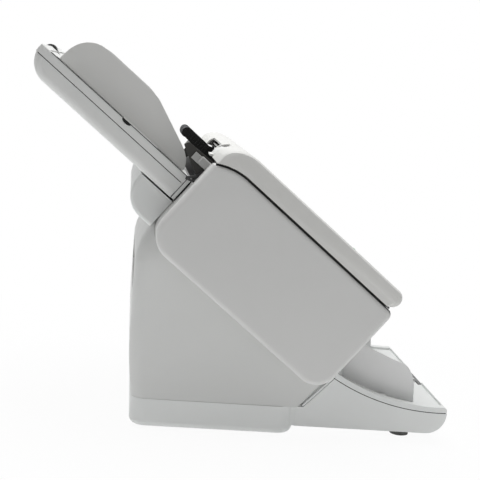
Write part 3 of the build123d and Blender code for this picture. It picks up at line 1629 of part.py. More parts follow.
with BuildPart() as inlet:
    with BuildSketch(Plane.XZ.offset(-inlet_face_y)):
        with Locations(inlet_spot):
            RectangleRounded(inlet_width + 8, inlet_height + 6, 2.0)
    extrude(amount=-2.0)
    with BuildSketch(Plane.XZ.offset(-inlet_face_y)):
        with Locations(inlet_spot):
            Rectangle(inlet_width, inlet_height)
    extrude(amount=18.0)
    with BuildSketch(Plane.XZ.offset(-inlet_face_y - 2.0)) as cavity:
        with Locations(inlet_spot):
            Rectangle(inlet_width - 4, inlet_height - 5)
        tops = cavity.vertices().group_by(Axis.Y)[-1]
        chamfer(tops, 4.0)
    extrude(amount=17.0, mode=Mode.SUBTRACT)
    with BuildSketch(Plane.XZ.offset(-inlet_face_y + 16.0)):
        with Locations(inlet_spot):
            with Locations((-7, -1.5), (7, -1.5), (0, 2.5)):
                Rectangle(2.0, 4.0)
    extrude(amount=-12.0)
save(inlet.part, "ac_inlet")

with BuildPart() as rocker:
    with BuildSketch(
        Plane(
            origin=(switch_spot[0] - switch_width / 2, switch_axis_y, switch_spot[1]),
            x_dir=(0, cos(radians(switch_tilt)), -sin(radians(switch_tilt))), z_dir=(1, 0, 0),
        )
    ):
        with BuildLine():
            Polyline((-5, -5), (-3, -10.4), (3.6, -10.4), (2.0, 0), (3.6, 10.4), (-3, 10.4),
                     (-5, 5), close=True)
        make_face()
    extrude(amount=switch_width)
    with BuildSketch(
        Plane(origin=(switch_spot[0] - 9, switch_axis_y, switch_spot[1]), z_dir=(1, 0, 0))
    ):
        Circle(1.5)
    extrude(amount=18)
save(rocker.part, "power_switch")

# Power supply and main board, on the floor of the plinth

electronics_z = foot_height + stand_wall
supply_width = 110.0
supply_length = 130.0
supply_height = 38.0
supply_spot = (-supply_width / 2 - 25.0, plinth_mid_y + 1.5)
board_width = 120.0
board_length = 110.0
board_spot = (board_width / 2 + 15.0, plinth_mid_y + 1.5)
board_rise = 8.0
board_thickness = 1.6

with BuildPart() as supply:
    with BuildSketch(Plane.XY.offset(electronics_z)):
        with Locations(supply_spot):
            Rectangle(supply_width, supply_length)
    extrude(amount=supply_height)
    with BuildSketch(Plane.XY.offset(electronics_z + supply_height)):
        with Locations(supply_spot):
            with GridLocations(supply_width / 9, 0.0, 6, 1):
                SlotOverall(supply_length - 50.0, 4.0, rotation=90)
    extrude(amount=-1.0, mode=Mode.SUBTRACT)
save(supply.part, "power_supply")

with BuildPart() as board:
    with BuildSketch(Plane.XY.offset(electronics_z)):
        with Locations(board_spot):
            with GridLocations(board_width - 20.0, board_length - 20.0, 2, 2):
                Circle(3.0)
    extrude(amount=board_rise)
    with BuildSketch(Plane.XY.offset(electronics_z + board_rise)):
        with Locations(board_spot):
            Rectangle(board_width, board_length)
    extrude(amount=board_thickness)
    with BuildSketch(Plane.XY.offset(electronics_z + board_rise + board_thickness)):
        with Locations(board_spot):
            with Locations((-board_width / 8, 10.0)):
                Rectangle(30.0, 30.0)
            with Locations((board_width / 4, -10.0)):
                Rectangle(18.0, 40.0)
    extrude(amount=3.0)
save(board.part, "main_board")

# Feet: discs under the plinth and under the tray

tray_foot_inset = 57.0
tray_foot_y = tray_nose_y + 54.0
tray_foot_spots = [(side * (tray_half - tray_foot_inset), tray_foot_y) for side in (-1, 1)]

with BuildPart() as rubber_feet:
    with BuildSketch(Plane.XY):
        with Locations(*foot_spots):
            Circle(foot_radius)
            Circle(2.5, mode=Mode.SUBTRACT)
    extrude(amount=foot_height)
    with BuildSketch(Plane.XY):
        with Locations(*tray_foot_spots):
            Circle(foot_radius)
    extrude(amount=tray_underside)
save(rubber_feet.part, "rubber_feet")
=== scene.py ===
import json
from math import cos, pi, radians, sin, sqrt

import bpy
from mathutils import Matrix, Vector

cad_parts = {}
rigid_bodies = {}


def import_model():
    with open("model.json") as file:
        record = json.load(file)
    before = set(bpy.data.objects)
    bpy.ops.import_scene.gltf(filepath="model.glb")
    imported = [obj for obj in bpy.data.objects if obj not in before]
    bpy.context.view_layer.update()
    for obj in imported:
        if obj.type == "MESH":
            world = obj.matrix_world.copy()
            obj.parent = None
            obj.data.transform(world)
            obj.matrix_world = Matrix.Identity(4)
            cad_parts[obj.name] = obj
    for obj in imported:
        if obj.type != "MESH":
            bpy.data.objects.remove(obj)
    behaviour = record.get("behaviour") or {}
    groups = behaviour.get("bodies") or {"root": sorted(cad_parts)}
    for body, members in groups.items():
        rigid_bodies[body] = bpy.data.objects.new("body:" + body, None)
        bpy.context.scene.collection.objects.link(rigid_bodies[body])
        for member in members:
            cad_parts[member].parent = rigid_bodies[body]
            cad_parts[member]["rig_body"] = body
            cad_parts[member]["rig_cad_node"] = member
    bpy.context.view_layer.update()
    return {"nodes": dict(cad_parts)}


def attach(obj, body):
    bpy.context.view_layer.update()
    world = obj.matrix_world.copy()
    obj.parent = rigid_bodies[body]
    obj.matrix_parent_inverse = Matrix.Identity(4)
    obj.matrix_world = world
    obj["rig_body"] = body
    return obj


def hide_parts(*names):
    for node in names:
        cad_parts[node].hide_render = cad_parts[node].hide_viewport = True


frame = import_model()
nodes = frame["nodes"]
scene = bpy.context.scene


# Base plinth: the ballast tray that the scanner stands on, injection moulded in light grey ABS.
# Its outside keeps the fine spark-eroded grain of the mould, which all the light shells share.
def object_place(tree):
    """Coordinates that are fixed to the piece."""
    return tree.nodes.new("ShaderNodeTexCoord").outputs["Object"]


def noise(tree, place, scale, detail, roughness=0.5, distortion=0.0):
    """Cloudy pattern, given in lumps per metre."""
    cloud = tree.nodes.new("ShaderNodeTexNoise")
    cloud.inputs["Scale"].default_value = scale
    cloud.inputs["Detail"].default_value = detail
    cloud.inputs["Roughness"].default_value = roughness
    cloud.inputs["Distortion"].default_value = distortion
    tree.links.new(place, cloud.inputs["Vector"])
    return cloud.outputs["Fac"]


def ranged(tree, factor, target, low, high, start=0.0, end=1.0):
    """Runs a value from low to high while the factor goes from start to end."""
    span = tree.nodes.new("ShaderNodeMapRange")
    span.inputs["From Min"].default_value = start
    span.inputs["From Max"].default_value = end
    span.inputs["To Min"].default_value = low
    span.inputs["To Max"].default_value = high
    tree.links.new(factor, span.inputs["Value"])
    tree.links.new(span.outputs["Result"], target)


def grain_group():
    """Node group with the grain of a moulded face: height, gloss mask and tone mask."""
    group = bpy.data.node_groups.new("moulded_grain", "ShaderNodeTree")
    socket = group.interface.new_socket
    socket("Grain per metre", in_out="INPUT", socket_type="NodeSocketFloat").default_value = 2200.0
    socket("Height", in_out="OUTPUT", socket_type="NodeSocketFloat")
    socket("Gloss", in_out="OUTPUT", socket_type="NodeSocketFloat")
    socket("Tone", in_out="OUTPUT", socket_type="NodeSocketFloat")
    taken = group.nodes.new("NodeGroupInput")
    given = group.nodes.new("NodeGroupOutput")
    place = object_place(group)
    pits = group.nodes.new("ShaderNodeTexVoronoi")
    pits.feature = "SMOOTH_F1"
    pits.inputs["Smoothness"].default_value = 0.6
    group.links.new(place, pits.inputs["Vector"])
    group.links.new(taken.outputs["Grain per metre"], pits.inputs["Scale"])
    both = group.nodes.new("ShaderNodeMath")
    both.operation = "MULTIPLY_ADD"
    both.inputs[1].default_value = 0.35
    group.links.new(noise(group, place, 5200.0, 3.0), both.inputs[0])
    group.links.new(pits.outputs["Distance"], both.inputs[2])
    group.links.new(both.outputs["Value"], given.inputs["Height"])
    handled = noise(group, place, 38.0, 6.0, roughness=0.62)
    ranged(group, handled, given.inputs["Gloss"], 0.0, 1.0, 0.38, 0.66)
    flow = noise(group, place, 7.0, 2.0, distortion=0.6)
    ranged(group, flow, given.inputs["Tone"], 0.0, 1.0, 0.3, 0.7)
    return group


def new_finish(name):
    """An empty finish, with its node tree and its shader."""
    finish = bpy.data.materials.new(name)
    finish.use_nodes = True
    return finish, finish.node_tree, finish.node_tree.nodes["Principled BSDF"]


def blend(tree, factor, first, second):
    """Colour that goes from the first to the second with a factor."""
    tones = tree.nodes.new("ShaderNodeMix")
    tones.data_type = "RGBA"
    for socket, colour in (("A", first), ("B", second)):
        if isinstance(colour, tuple):
            tones.inputs[socket].default_value = (*colour, 1)
        else:
            tree.links.new(colour, tones.inputs[socket])
    tree.links.new(factor, tones.inputs["Factor"])
    return tones.outputs["Result"]


def relief(tree, height, shader, distance, strength=1.0):
    """Lets a pattern stand out of the surface by a distance."""
    bump = tree.nodes.new("ShaderNodeBump")
    bump.inputs["Strength"].default_value = strength
    bump.inputs["Distance"].default_value = distance
    tree.links.new(height, bump.inputs["Height"])
    tree.links.new(bump.outputs["Normal"], shader.inputs["Normal"])


moulded_grain = grain_group()
gloss_spread = 0.08
grain_strength = 0.35


def moulding(name, light, dark, rough, grain=2200.0, depth=0.00004, shine=0.5):
    """Moulded plastic: two near tones that drift over the part, a grain and a gloss that varies."""
    finish, tree, shader = new_finish(name)
    grained = tree.nodes.new("ShaderNodeGroup")
    grained.node_tree = moulded_grain
    grained.inputs["Grain per metre"].default_value = grain
    tones = blend(tree, grained.outputs["Tone"], light, dark)
    tree.links.new(tones, shader.inputs["Base Color"])
    ranged(tree, grained.outputs["Gloss"], shader.inputs["Roughness"],
           rough - gloss_spread, rough + gloss_spread)
    shader.inputs["Specular IOR Level"].default_value = shine
    relief(tree, grained.outputs["Height"], shader, depth, grain_strength)
    return finish


def only(*pieces):
    """Selects these pieces alone and makes the first one active."""
    bpy.ops.object.select_all(action="DESELECT")
    for piece in pieces:
        piece.select_set(True)
    bpy.context.view_layer.objects.active = pieces[0]


def rounded(piece, edge, angle=32):
    """Rounds the sharp edges of a piece and shades its faces smoothly."""
    only(piece)
    bpy.ops.object.shade_smooth_by_angle(angle=radians(angle))
    soft = piece.modifiers.new("soft_edges", "BEVEL")
    soft.width = edge
    soft.segments = 2
    soft.limit_method = "ANGLE"
    soft.angle_limit = radians(angle)
    soft.harden_normals = True
    bpy.ops.object.modifier_apply(modifier=soft.name)


def given_finish(piece, material, body, stands_for=()):
    """Gives a finished piece its material and the body that it rides on."""
    piece.data.materials.clear()
    piece.data.materials.append(material)
    if stands_for:
        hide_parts(*stands_for)
    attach(piece, body)


weld_gap = 0.000002
flat_angle = radians(0.6)


def softened(name, body, material, edge=0.0006, cutters=()):
    """Stands for a CAD node: the same faces, merged, cut where told, with rounded edges."""
    piece = nodes[name].copy()
    piece.data = nodes[name].data.copy()
    piece.name = name + "_moulding"
    piece.parent = None
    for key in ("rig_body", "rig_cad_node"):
        del piece[key]
    scene.collection.objects.link(piece)
    only(piece)
    bpy.ops.mesh.customdata_custom_splitnormals_clear()
    bpy.ops.object.mode_set(mode="EDIT")
    bpy.ops.mesh.select_all(action="SELECT")
    bpy.ops.mesh.remove_doubles(threshold=weld_gap)
    bpy.ops.mesh.dissolve_limited(angle_limit=flat_angle)
    bpy.ops.object.mode_set(mode="OBJECT")
    for cutter in cutters:
        cut = piece.modifiers.new("cut", "BOOLEAN")
        cut.operation = "DIFFERENCE"
        cut.solver = "EXACT"
        cut.object = cutter
        bpy.ops.object.modifier_apply(modifier=cut.name)
        bpy.data.objects.remove(cutter)
    rounded(piece, edge)
    given_finish(piece, material, body, [name])
    return piece


shell_light = moulding("shell_light", (0.735, 0.742, 0.73), (0.712, 0.72, 0.708), 0.52)
# Painted light: the plinth's grey is the shells' light grey made lighter, against the shade under
# the overhanging body.
plinth_brightened = moulding("plinth_brightened", (0.8, 0.815, 0.805), (0.78, 0.795, 0.785), 0.52)
softened("base_plinth", "base", plinth_brightened)

# Feet: round pads of soft rubber, pressed into sockets under the plinth and under the tray's nose.
# Each has a rounded rim and a shallow cup underneath. The two under the nose are tall, and they
# are drawn out to the sides.
foot_radius = 0.013
foot_height = 0.003
foot_spots = [(x, y) for x in (-0.155, 0.155) for y in (-0.052, 0.109)]
tray_foot_height = 0.0145
tray_foot_reach = 0.014
tray_foot_spots = [(-0.128, -0.244), (0.128, -0.244)]
cup_steps = ((0.0035, 0.0), (0.0008, -0.0007), (0.004, 0.0), (0.0006, 0.0005))
feet_rubber = moulding("feet_rubber", (0.13, 0.13, 0.125), (0.09, 0.09, 0.088), 0.85, 900.0, 0.0001)


def foot_pad(name, x, y, height, reach=0.0):
    """A pad with a rounded rim and a shallow cup underneath, drawn out sideways by its reach."""
    bpy.ops.object.select_all(action="DESELECT")
    bpy.ops.mesh.primitive_cylinder_add(
        vertices=48, radius=foot_radius, depth=height, location=(x, y, height / 2)
    )
    pad = bpy.context.object
    pad.name = name
    bpy.ops.object.transform_apply(location=True, rotation=True, scale=True)
    bpy.ops.object.mode_set(mode="EDIT")
    bpy.ops.mesh.select_mode(type="VERT")
    bpy.ops.mesh.select_all(action="DESELECT")
    bpy.ops.object.mode_set(mode="OBJECT")
    for corner in pad.data.vertices:
        corner.select = (corner.co.x - x) * reach > 0.000001
    bpy.ops.object.mode_set(mode="EDIT")
    bpy.ops.transform.translate(value=(reach, 0.0, 0.0))
    bpy.ops.mesh.select_mode(type="FACE")
    bpy.ops.object.mode_set(mode="OBJECT")
    for face in pad.data.polygons:
        face.select = face.normal.z < -0.9
    bpy.ops.object.mode_set(mode="EDIT")
    for width, depth in cup_steps:
        bpy.ops.mesh.inset(thickness=width, depth=depth)
    bpy.ops.object.mode_set(mode="OBJECT")
    rounded(pad, 0.0005)
    return pad


def joined(name, pieces):
    """Joins pieces into the first one and names it."""
    only(*pieces)
    bpy.ops.object.join()
    pieces[0].name = name
    return pieces[0]


pads = [foot_pad("foot_pad_%d" % n, x, y, foot_height) for n, (x, y) in enumerate(foot_spots)]
for n, (x, y) in enumerate(tray_foot_spots):
    reach = tray_foot_reach if x > 0 else -tray_foot_reach
    pads.append(foot_pad("tray_pad_%d" % n, x, y, tray_foot_height, reach))
given_finish(joined("foot_pads", pads), feet_rubber, "base", ["rubber_feet"])

# Stand: the hollow shell that carries the tilted body, moulded in the same light grey ABS.
# Its flanks flare out to the plinth, and its rear has the recess for the power cable.
softened("stand_shell", "base", shell_light)

# Rear panel: the insert that lines the cable recess, moulded in the darker grey ABS of the inner
# parts. Four small turned screws, two at each end, hold it to the stand.
shell_grey = moulding("shell_grey", (0.5, 0.5, 0.49), (0.475, 0.475, 0.465), 0.5)
softened("rear_panel", "base", shell_grey, 0.0004)


def brushed_metal(name, tone, rough, direction):
    """Drawn or turned steel: fine streaks along one direction, in colour, gloss and height."""
    finish, tree, shader = new_finish(name)
    shader.inputs["Metallic"].default_value = 1.0
    drawn = tree.nodes.new("ShaderNodeMapping")
    drawn.inputs["Scale"].default_value = direction
    tree.links.new(object_place(tree), drawn.inputs["Vector"])
    streaks = noise(tree, drawn.outputs["Vector"], 1.0, 5.0)
    tint = tree.nodes.new("ShaderNodeValToRGB")
    tint.color_ramp.elements[0].position = 0.25
    tint.color_ramp.elements[0].color = (tone * 0.82, tone * 0.82, tone * 0.84, 1)
    tint.color_ramp.elements[1].position = 0.75
    tint.color_ramp.elements[1].color = (tone, tone, tone * 0.99, 1)
    tree.links.new(streaks, tint.inputs["Fac"])
    tree.links.new(tint.outputs["Color"], shader.inputs["Base Color"])
    ranged(tree, streaks, shader.inputs["Roughness"], rough - 0.07, rough + 0.1)
    relief(tree, streaks, shader, 0.00002, 0.25)
    return finish


steel_turned = brushed_metal("steel_turned", 0.62, 0.3, (2600.0, 90.0, 90.0))
screw_radius = 0.0032
screw_head = 0.0016
screw_rim = 0.0014
screw_drive_depth = 0.001
screw_face_y = 0.134
screw_spots = ((-0.0955, 0.186), (-0.0955, 0.216), (0.142, 0.186), (0.142, 0.216))
bpy.ops.object.select_all(action="DESELECT")
bpy.ops.mesh.primitive_cylinder_add(vertices=32, radius=screw_radius, depth=screw_head)
screw = bpy.context.object
bpy.ops.object.transform_apply(location=True, rotation=True, scale=True)
for face in screw.data.polygons:
    face.select = face.normal.z > 0.9
bpy.ops.object.mode_set(mode="EDIT")
bpy.ops.mesh.select_mode(type="FACE")
bpy.ops.mesh.inset(thickness=screw_rim, depth=0)
bpy.ops.mesh.inset(thickness=0.0002, depth=-screw_drive_depth)
bpy.ops.object.mode_set(mode="OBJECT")
rounded(screw, 0.0003)
screws = []
for x, z in screw_spots:
    head = screw.copy()
    head.data = screw.data.copy()
    scene.collection.objects.link(head)
    head.matrix_world = Matrix.Translation((x, screw_face_y, z)) @ Matrix.Rotation(-pi / 2, 4, "X")
    only(head)
    bpy.ops.object.transform_apply(location=True, rotation=True, scale=True)
    screws.append(head)
bpy.data.objects.remove(screw)
given_finish(joined("rear_panel_screws", screws), steel_turned, "base")

# Power inlet: a socket moulded in black nylon and snapped into the rear panel.
# Its three blades are stamped from plated strip, with bevelled tips, and stand in the socket.
mechanism_black = moulding("mechanism_black", (0.02, 0.02, 0.0195), (0.014, 0.014, 0.014), 0.42)
softened("ac_inlet", "base", mechanism_black, 0.0003)
blade_back_y = 0.118
blade_tip_y = 0.1302
blade_thickness = 0.0022
blade_height = 0.0042
blade_bevel = 0.0005
blade_bevel_length = 0.0008
blade_spots = ((-0.132, 0.1995), (-0.118, 0.1995), (-0.125, 0.2035))
blades = []
for x, z in blade_spots:
    bpy.ops.object.select_all(action="DESELECT")
    bpy.ops.mesh.primitive_cube_add(
        size=1, location=(x, (blade_back_y + blade_tip_y) / 2, z),
        scale=(blade_thickness, blade_tip_y - blade_back_y, blade_height),
    )
    blade = bpy.context.object
    bpy.ops.object.transform_apply(location=True, rotation=True, scale=True)
    for face in blade.data.polygons:
        face.select = face.normal.y > 0.9
    bpy.ops.object.mode_set(mode="EDIT")
    bpy.ops.mesh.select_mode(type="FACE")
    bpy.ops.mesh.inset(thickness=blade_bevel, depth=blade_bevel_length)
    bpy.ops.object.mode_set(mode="OBJECT")
    rounded(blade, 0.0001)
    blades.append(blade)
given_finish(joined("inlet_blades", blades), steel_turned, "base")

# Power switch: a glossy black rocker beside the inlet, moulded in hard polycarbonate.
# It tips about a pin through its middle.
rocker_black = moulding("rocker_black", (0.022, 0.022, 0.023), (0.016, 0.016, 0.017), 0.24, 3000.0)
softened("power_switch", "rocker", rocker_black, 0.0006)

# Body: a grey inner shell between two light side covers, all moulded in ABS.
# The covers are clipped on at the sides and hide the steel frames.
softened("body_shell", "base", shell_grey)
side_grey = moulding("side_grey", (0.69, 0.692, 0.682), (0.67, 0.672, 0.662), 0.52)
for name in ("side_cover_left", "side_cover_right"):
    softened(name, "base", side_grey, 0.001)

# Lift housing: the round-backed cowl over the lift's rods and screw, behind the body.
# It is moulded in ABS and clipped to the body; its colour is the plinth's lighter grey, painted
# light against the shade under the hopper.
softened("lift_housing", "base", plinth_brightened)

# Side frames: steel plates that carry every shaft, motor and hinge.
# They are punched and bent from rolled sheet, so their streaks run one way.
steel_rolled = brushed_metal("steel_rolled", 0.5, 0.38, (90.0, 60.0, 1900.0))
softened("side_frames", "base", steel_rolled, 0.0002)

# Deck: the black rim under the cover that closes the body round the paper path.
# It is moulded in glass-filled plastic and screwed to the side frames.
softened("deck", "base", mechanism_black, 0.0004)

# Feed cheeks: dark walls beside the feed mouth, moulded in ABS and screwed to the side frames.
# The right one has its upper corner cut away. The pieces of the tilted body are placed in its
# own frame, whose Y runs up the slope to the rear.
tilt = radians(38)
slope_y = -0.0306
slope_z = 0.2263
slope = Matrix.Translation((0.0, slope_y, slope_z)) @ Matrix.Rotation(tilt, 4, "X")


def seated(piece, base):
    """Turns a piece from its own frame into place and leaves its object at the origin."""
    piece.matrix_world = base @ piece.matrix_world
    only(piece)
    bpy.ops.object.transform_apply(location=True, rotation=True, scale=True)


def block(across, along, up, base, edge):
    """A rectangular moulding that fills a range of X, Y and Z of its own frame, edges rounded."""
    ranges = (across, along, up)
    bpy.ops.object.select_all(action="DESELECT")
    bpy.ops.mesh.primitive_cube_add(
        size=1, location=[(low + high) / 2 for low, high in ranges],
        scale=[high - low for low, high in ranges],
    )
    piece = bpy.context.object
    bpy.ops.object.transform_apply(location=True, rotation=True, scale=True)
    seated(piece, base)
    rounded(piece, edge)
    return piece


cheek_black = moulding("cheek_black", (0.042, 0.041, 0.038), (0.033, 0.032, 0.03), 0.5,
                       shine=0.25)
corner_x = (0.17, 0.2)
corner_y = (0.166, 0.22)
corner_z = (0.03, 0.08)
far_corner = block(corner_x, corner_y, corner_z, slope, 0.0005)
softened("feed_cheeks", "base", cheek_black, 0.0006, [far_corner])

# Bush blocks: pale bearing blocks of self-lubricating plastic that hold the feed shaft.
# A snap-on cover of the same plastic stands on the outer face of each.
bush_pale = moulding("bush_pale", (0.42, 0.42, 0.412), (0.38, 0.38, 0.372), 0.42)
softened("feed_bush_blocks", "base", bush_pale, 0.0006)


def side_block(side, across, along, up, base, edge):
    """A block at the left (-1) or right (+1), its X range measured outwards from the middle."""
    return block(sorted(side * x for x in across), along, up, base, edge)


bush_cover_x = (0.1895, 0.1936)
bush_cover_z = (0.0435, 0.054)
bush_cover_ends = ((-1, (0.153, 0.181)), (1, (0.153, 0.165)))
covers = [side_block(side, bush_cover_x, ends, bush_cover_z, slope, 0.0009)
          for side, ends in bush_cover_ends]
given_finish(joined("feed_bush_covers", covers), bush_pale, "base")

# Level lever: the thin black lever that rests on the stack and feels its height.
# It is moulded in one piece with its pivot, which turns in the feed cheek.
softened("level_lever", "level_arm", mechanism_black, 0.0004)

# Transport bed: the lower paper guide from the feed mouth to the exit, moulded in grey ABS.
# It is screwed to the side frames, and the driven rollers come up through it.
softened("transport_bed", "base", shell_grey, 0.0004)

# Exit guide and hinge brackets: black mouldings at the front end of the path. The curved guide
# turns sheets down to the tray, and the cover swings on steel pins in the brackets.
for name in ("exit_guide", "hinge_brackets"):
    softened(name, "base", mechanism_black, 0.0004)
softened("hinge_pins", "front_cover", steel_turned, 0.0004)

# Seam shade blocks: low black blocks on the deck's rim outside the hinges, in the same black as the
# deck.
# They are painted shade: they block the view through the seam under the cover's front end, which is
# in shade.
seam_shade_x = (0.2115, 0.2145)
seam_shade_y = (-0.15, -0.112)
seam_shade_z = (0.0735, 0.0758)
seam_shades = [side_block(side, seam_shade_x, seam_shade_y, seam_shade_z, slope, 0.0004) for side in (-1, 1)]
given_finish(joined("seam_shade_blocks", seam_shades), mechanism_black, "base")

# Scan windows: strips of polished float glass over the two sensor bars, bonded into the bed and
# into the cover. The glass is faintly green, and a film of paper dust varies its gloss.
window_glass, pane, clear = new_finish("window_glass")
clear.inputs["Transmission Weight"].default_value = 0.92
clear.inputs["IOR"].default_value = 1.52
smear = noise(pane, object_place(pane), 55.0, 4.0)
ranged(pane, smear, clear.inputs["Roughness"], 0.02, 0.07)
green_tint = blend(pane, smear, (0.78, 0.86, 0.83), (0.84, 0.9, 0.88))
pane.links.new(green_tint, clear.inputs["Base Color"])
softened("lower_glass", "base", window_glass, 0.0002)
softened("upper_glass", "front_cover", window_glass, 0.0002)


# Sensor bars: long black housings with a lens slot, moulded in glass-filled plastic.
# One is held under the bed and one in the cover, each behind its window.
def dress(material, *names):
    """Gives carried-over CAD nodes a finish in every material slot."""
    for name in names:
        data = nodes[name].data
        if not data.materials:
            data.materials.append(material)
        for index in range(len(data.materials)):
            data.materials[index] = material


dress(mechanism_black, "lower_sensor", "upper_sensor")

# Motors and power supply: cans and a slotted box, drawn and folded from plated sheet steel.
# The motors are screwed to the frames, and the power supply to the floor of the plinth.
dress(steel_rolled, "drive_motors", "lift_motor", "power_supply")

# Lift rods and motor pulleys: turned and ground from steel bar.
# The rods stand in the lift housing, and the pulleys are pressed on the motors' shafts.
dress(steel_turned, "lift_rods", "motor_pulley", "feed_motor_pulley")


# Lift screw: a steel spindle between the rods that the lift's motor turns.
# Its thread is rolled, and shows as a fine wave along the spindle, painted darker in its grooves as
# painted shade.
thread_pitch = 0.002
# A wave texture at scale 1 repeats after this many metres.
unit_wave = 0.314


def wave_coat(name, light, dark, rough, pitch, turn, metallic=0.0):
    """A finish with a regular wave in it, for a thread or for a belt's teeth, with painted shade:
    darker colour in the wave's troughs.
    """
    finish, tree, shader = new_finish(name)
    shader.inputs["Metallic"].default_value = metallic
    laid = tree.nodes.new("ShaderNodeMapping")
    laid.inputs["Rotation"].default_value = turn
    tree.links.new(object_place(tree), laid.inputs["Vector"])
    wave = tree.nodes.new("ShaderNodeTexWave")
    wave.bands_direction = "Z"
    wave.inputs["Scale"].default_value = unit_wave / pitch
    tree.links.new(laid.outputs["Vector"], wave.inputs["Vector"])
    tree.links.new(blend(tree, wave.outputs["Fac"], dark, light), shader.inputs["Base Color"])
    ranged(tree, wave.outputs["Fac"], shader.inputs["Roughness"], rough + 0.1, rough)
    relief(tree, wave.outputs["Fac"], shader, 0.0003)
    return finish


thread_steel = wave_coat("thread_steel", (0.6, 0.6, 0.6), (0.3, 0.3, 0.31), 0.3, thread_pitch,
                         (-tilt, 0.0, 0.0), 1.0)
dress(thread_steel, "lift_screw")

# Drive belts: toothed loops of black rubber round the pulleys outside the right side frame.
# Their teeth are moulded across the run at a pitch of two millimetres, and the gaps between them are
# painted darker as painted shade.
tooth_pitch = 0.002
belt_rubber = wave_coat("belt_rubber", (0.035, 0.035, 0.035), (0.012, 0.012, 0.012), 0.6,
                        tooth_pitch, (-tilt + pi / 4, 0.0, 0.0))
dress(belt_rubber, "drive_belts")

# Main board: a glass-fibre board under green solder mask, on four pillars in the plinth.
# Its copper tracks show through the mask, and black packages are soldered on it.
board_mask, mask, lacquer = new_finish("board_mask")
board_place = object_place(mask)
tracks = mask.nodes.new("ShaderNodeTexBrick")
tracks.inputs["Scale"].default_value = 160.0
tracks.inputs["Mortar Size"].default_value = 0.035
tracks.inputs["Color1"].default_value = (0.012, 0.1, 0.045, 1)
tracks.inputs["Color2"].default_value = (0.016, 0.13, 0.055, 1)
tracks.inputs["Mortar"].default_value = (0.05, 0.22, 0.1, 1)
mask.links.new(board_place, tracks.inputs["Vector"])
parts_map = mask.nodes.new("ShaderNodeTexVoronoi")
parts_map.distance = "CHEBYCHEV"
parts_map.inputs["Scale"].default_value = 95.0
mask.links.new(board_place, parts_map.inputs["Vector"])
packages = mask.nodes.new("ShaderNodeMath")
packages.operation = "LESS_THAN"
packages.inputs[1].default_value = 0.19
mask.links.new(parts_map.outputs["Distance"], packages.inputs[0])
board_tone = blend(mask, packages.outputs["Value"], tracks.outputs["Color"], (0.02, 0.02, 0.021))
mask.links.new(board_tone, lacquer.inputs["Base Color"])
relief(mask, packages.outputs["Value"], lacquer, 0.0012)
lacquer.inputs["Roughness"].default_value = 0.35
dress(board_mask, "main_board")


# Rollers: rubber tyres bonded to turned steel shafts, with belt pulleys on the driven ends.
# The rubber is matt and finely ground, and the shaft between the tyres is bare.
bond_line = 0.0004


def roller_finish(name, p, q, shaft):
    """Steel within the shaft's radius about its axis, ground rubber outside it."""
    finish, tree, shader = new_finish(name)
    axis_y = slope_y - p * cos(tilt) - q * sin(tilt)
    axis_z = slope_z - p * sin(tilt) + q * cos(tilt)
    place = object_place(tree)
    centred = tree.nodes.new("ShaderNodeMapping")
    centred.vector_type = "POINT"
    centred.inputs["Location"].default_value = (0.0, -axis_y, -axis_z)
    tree.links.new(place, centred.inputs["Vector"])
    flat = tree.nodes.new("ShaderNodeVectorMath")
    flat.operation = "MULTIPLY"
    flat.inputs[1].default_value = (0.0, 1.0, 1.0)
    tree.links.new(centred.outputs["Vector"], flat.inputs[0])
    reach = tree.nodes.new("ShaderNodeVectorMath")
    reach.operation = "LENGTH"
    tree.links.new(flat.outputs["Vector"], reach.inputs[0])
    outside = tree.nodes.new("ShaderNodeMath")
    outside.operation = "GREATER_THAN"
    outside.inputs[1].default_value = shaft + bond_line
    tree.links.new(reach.outputs["Value"], outside.inputs[0])
    ground = tree.nodes.new("ShaderNodeTexWave")
    ground.bands_direction = "X"
    ground.inputs["Scale"].default_value = 260.0
    ground.inputs["Distortion"].default_value = 1.2
    tree.links.new(place, ground.inputs["Vector"])
    rubber = blend(tree, ground.outputs["Fac"], (0.04, 0.042, 0.046), (0.06, 0.062, 0.066))
    tone = blend(tree, outside.outputs["Value"], (0.6, 0.6, 0.59), rubber)
    tree.links.new(tone, shader.inputs["Base Color"])
    ranged(tree, outside.outputs["Value"], shader.inputs["Metallic"], 1.0, 0.0)
    ranged(tree, outside.outputs["Value"], shader.inputs["Roughness"], 0.26, 0.8)
    relief(tree, ground.outputs["Fac"], shader, 0.0001, 0.4)
    return finish


pick_p = -0.197
pick_q = 0.062
roller_rows = (
    ("pinch_roller_rear", "pinch_rear", -0.072, 0.0741, 0.002),
    ("pinch_roller_front", "pinch_front", 0.072, 0.0741, 0.002),
    ("feed_roller", "feed_shaft", -0.138, 0.06, 0.003),
    ("separation_roller", "separation_shaft", -0.138, 0.0359, 0.003),
    ("transport_roller_rear", "transport_rear", -0.072, 0.057, 0.003),
    ("transport_roller_front", "transport_front", 0.072, 0.057, 0.003),
    ("eject_roller", "eject_shaft", 0.1296, 0.0478, 0.003),
    ("pick_rollers", "pick_shaft", pick_p, pick_q, 0.002),
)
for name, body, p, q, shaft in roller_rows:
    softened(name, body, roller_finish(name + "_finish", p, q, shaft), 0.0006)

# Pick rollers' size: the small rubber tyres and their steel shaft are drawn a fifth slimmer than
# the solid's, about their own axis, so that they stay within the arm's slim end.
pick_row = bpy.data.objects["pick_rollers_moulding"]
pick_axis = slope @ Vector((0.0, -pick_p, pick_q))
only(pick_row)
bpy.ops.object.mode_set(mode="EDIT")
bpy.ops.mesh.select_all(action="SELECT")
bpy.ops.transform.resize(value=(1.0, 0.8, 0.8), center_override=pick_axis)
bpy.ops.object.mode_set(mode="OBJECT")

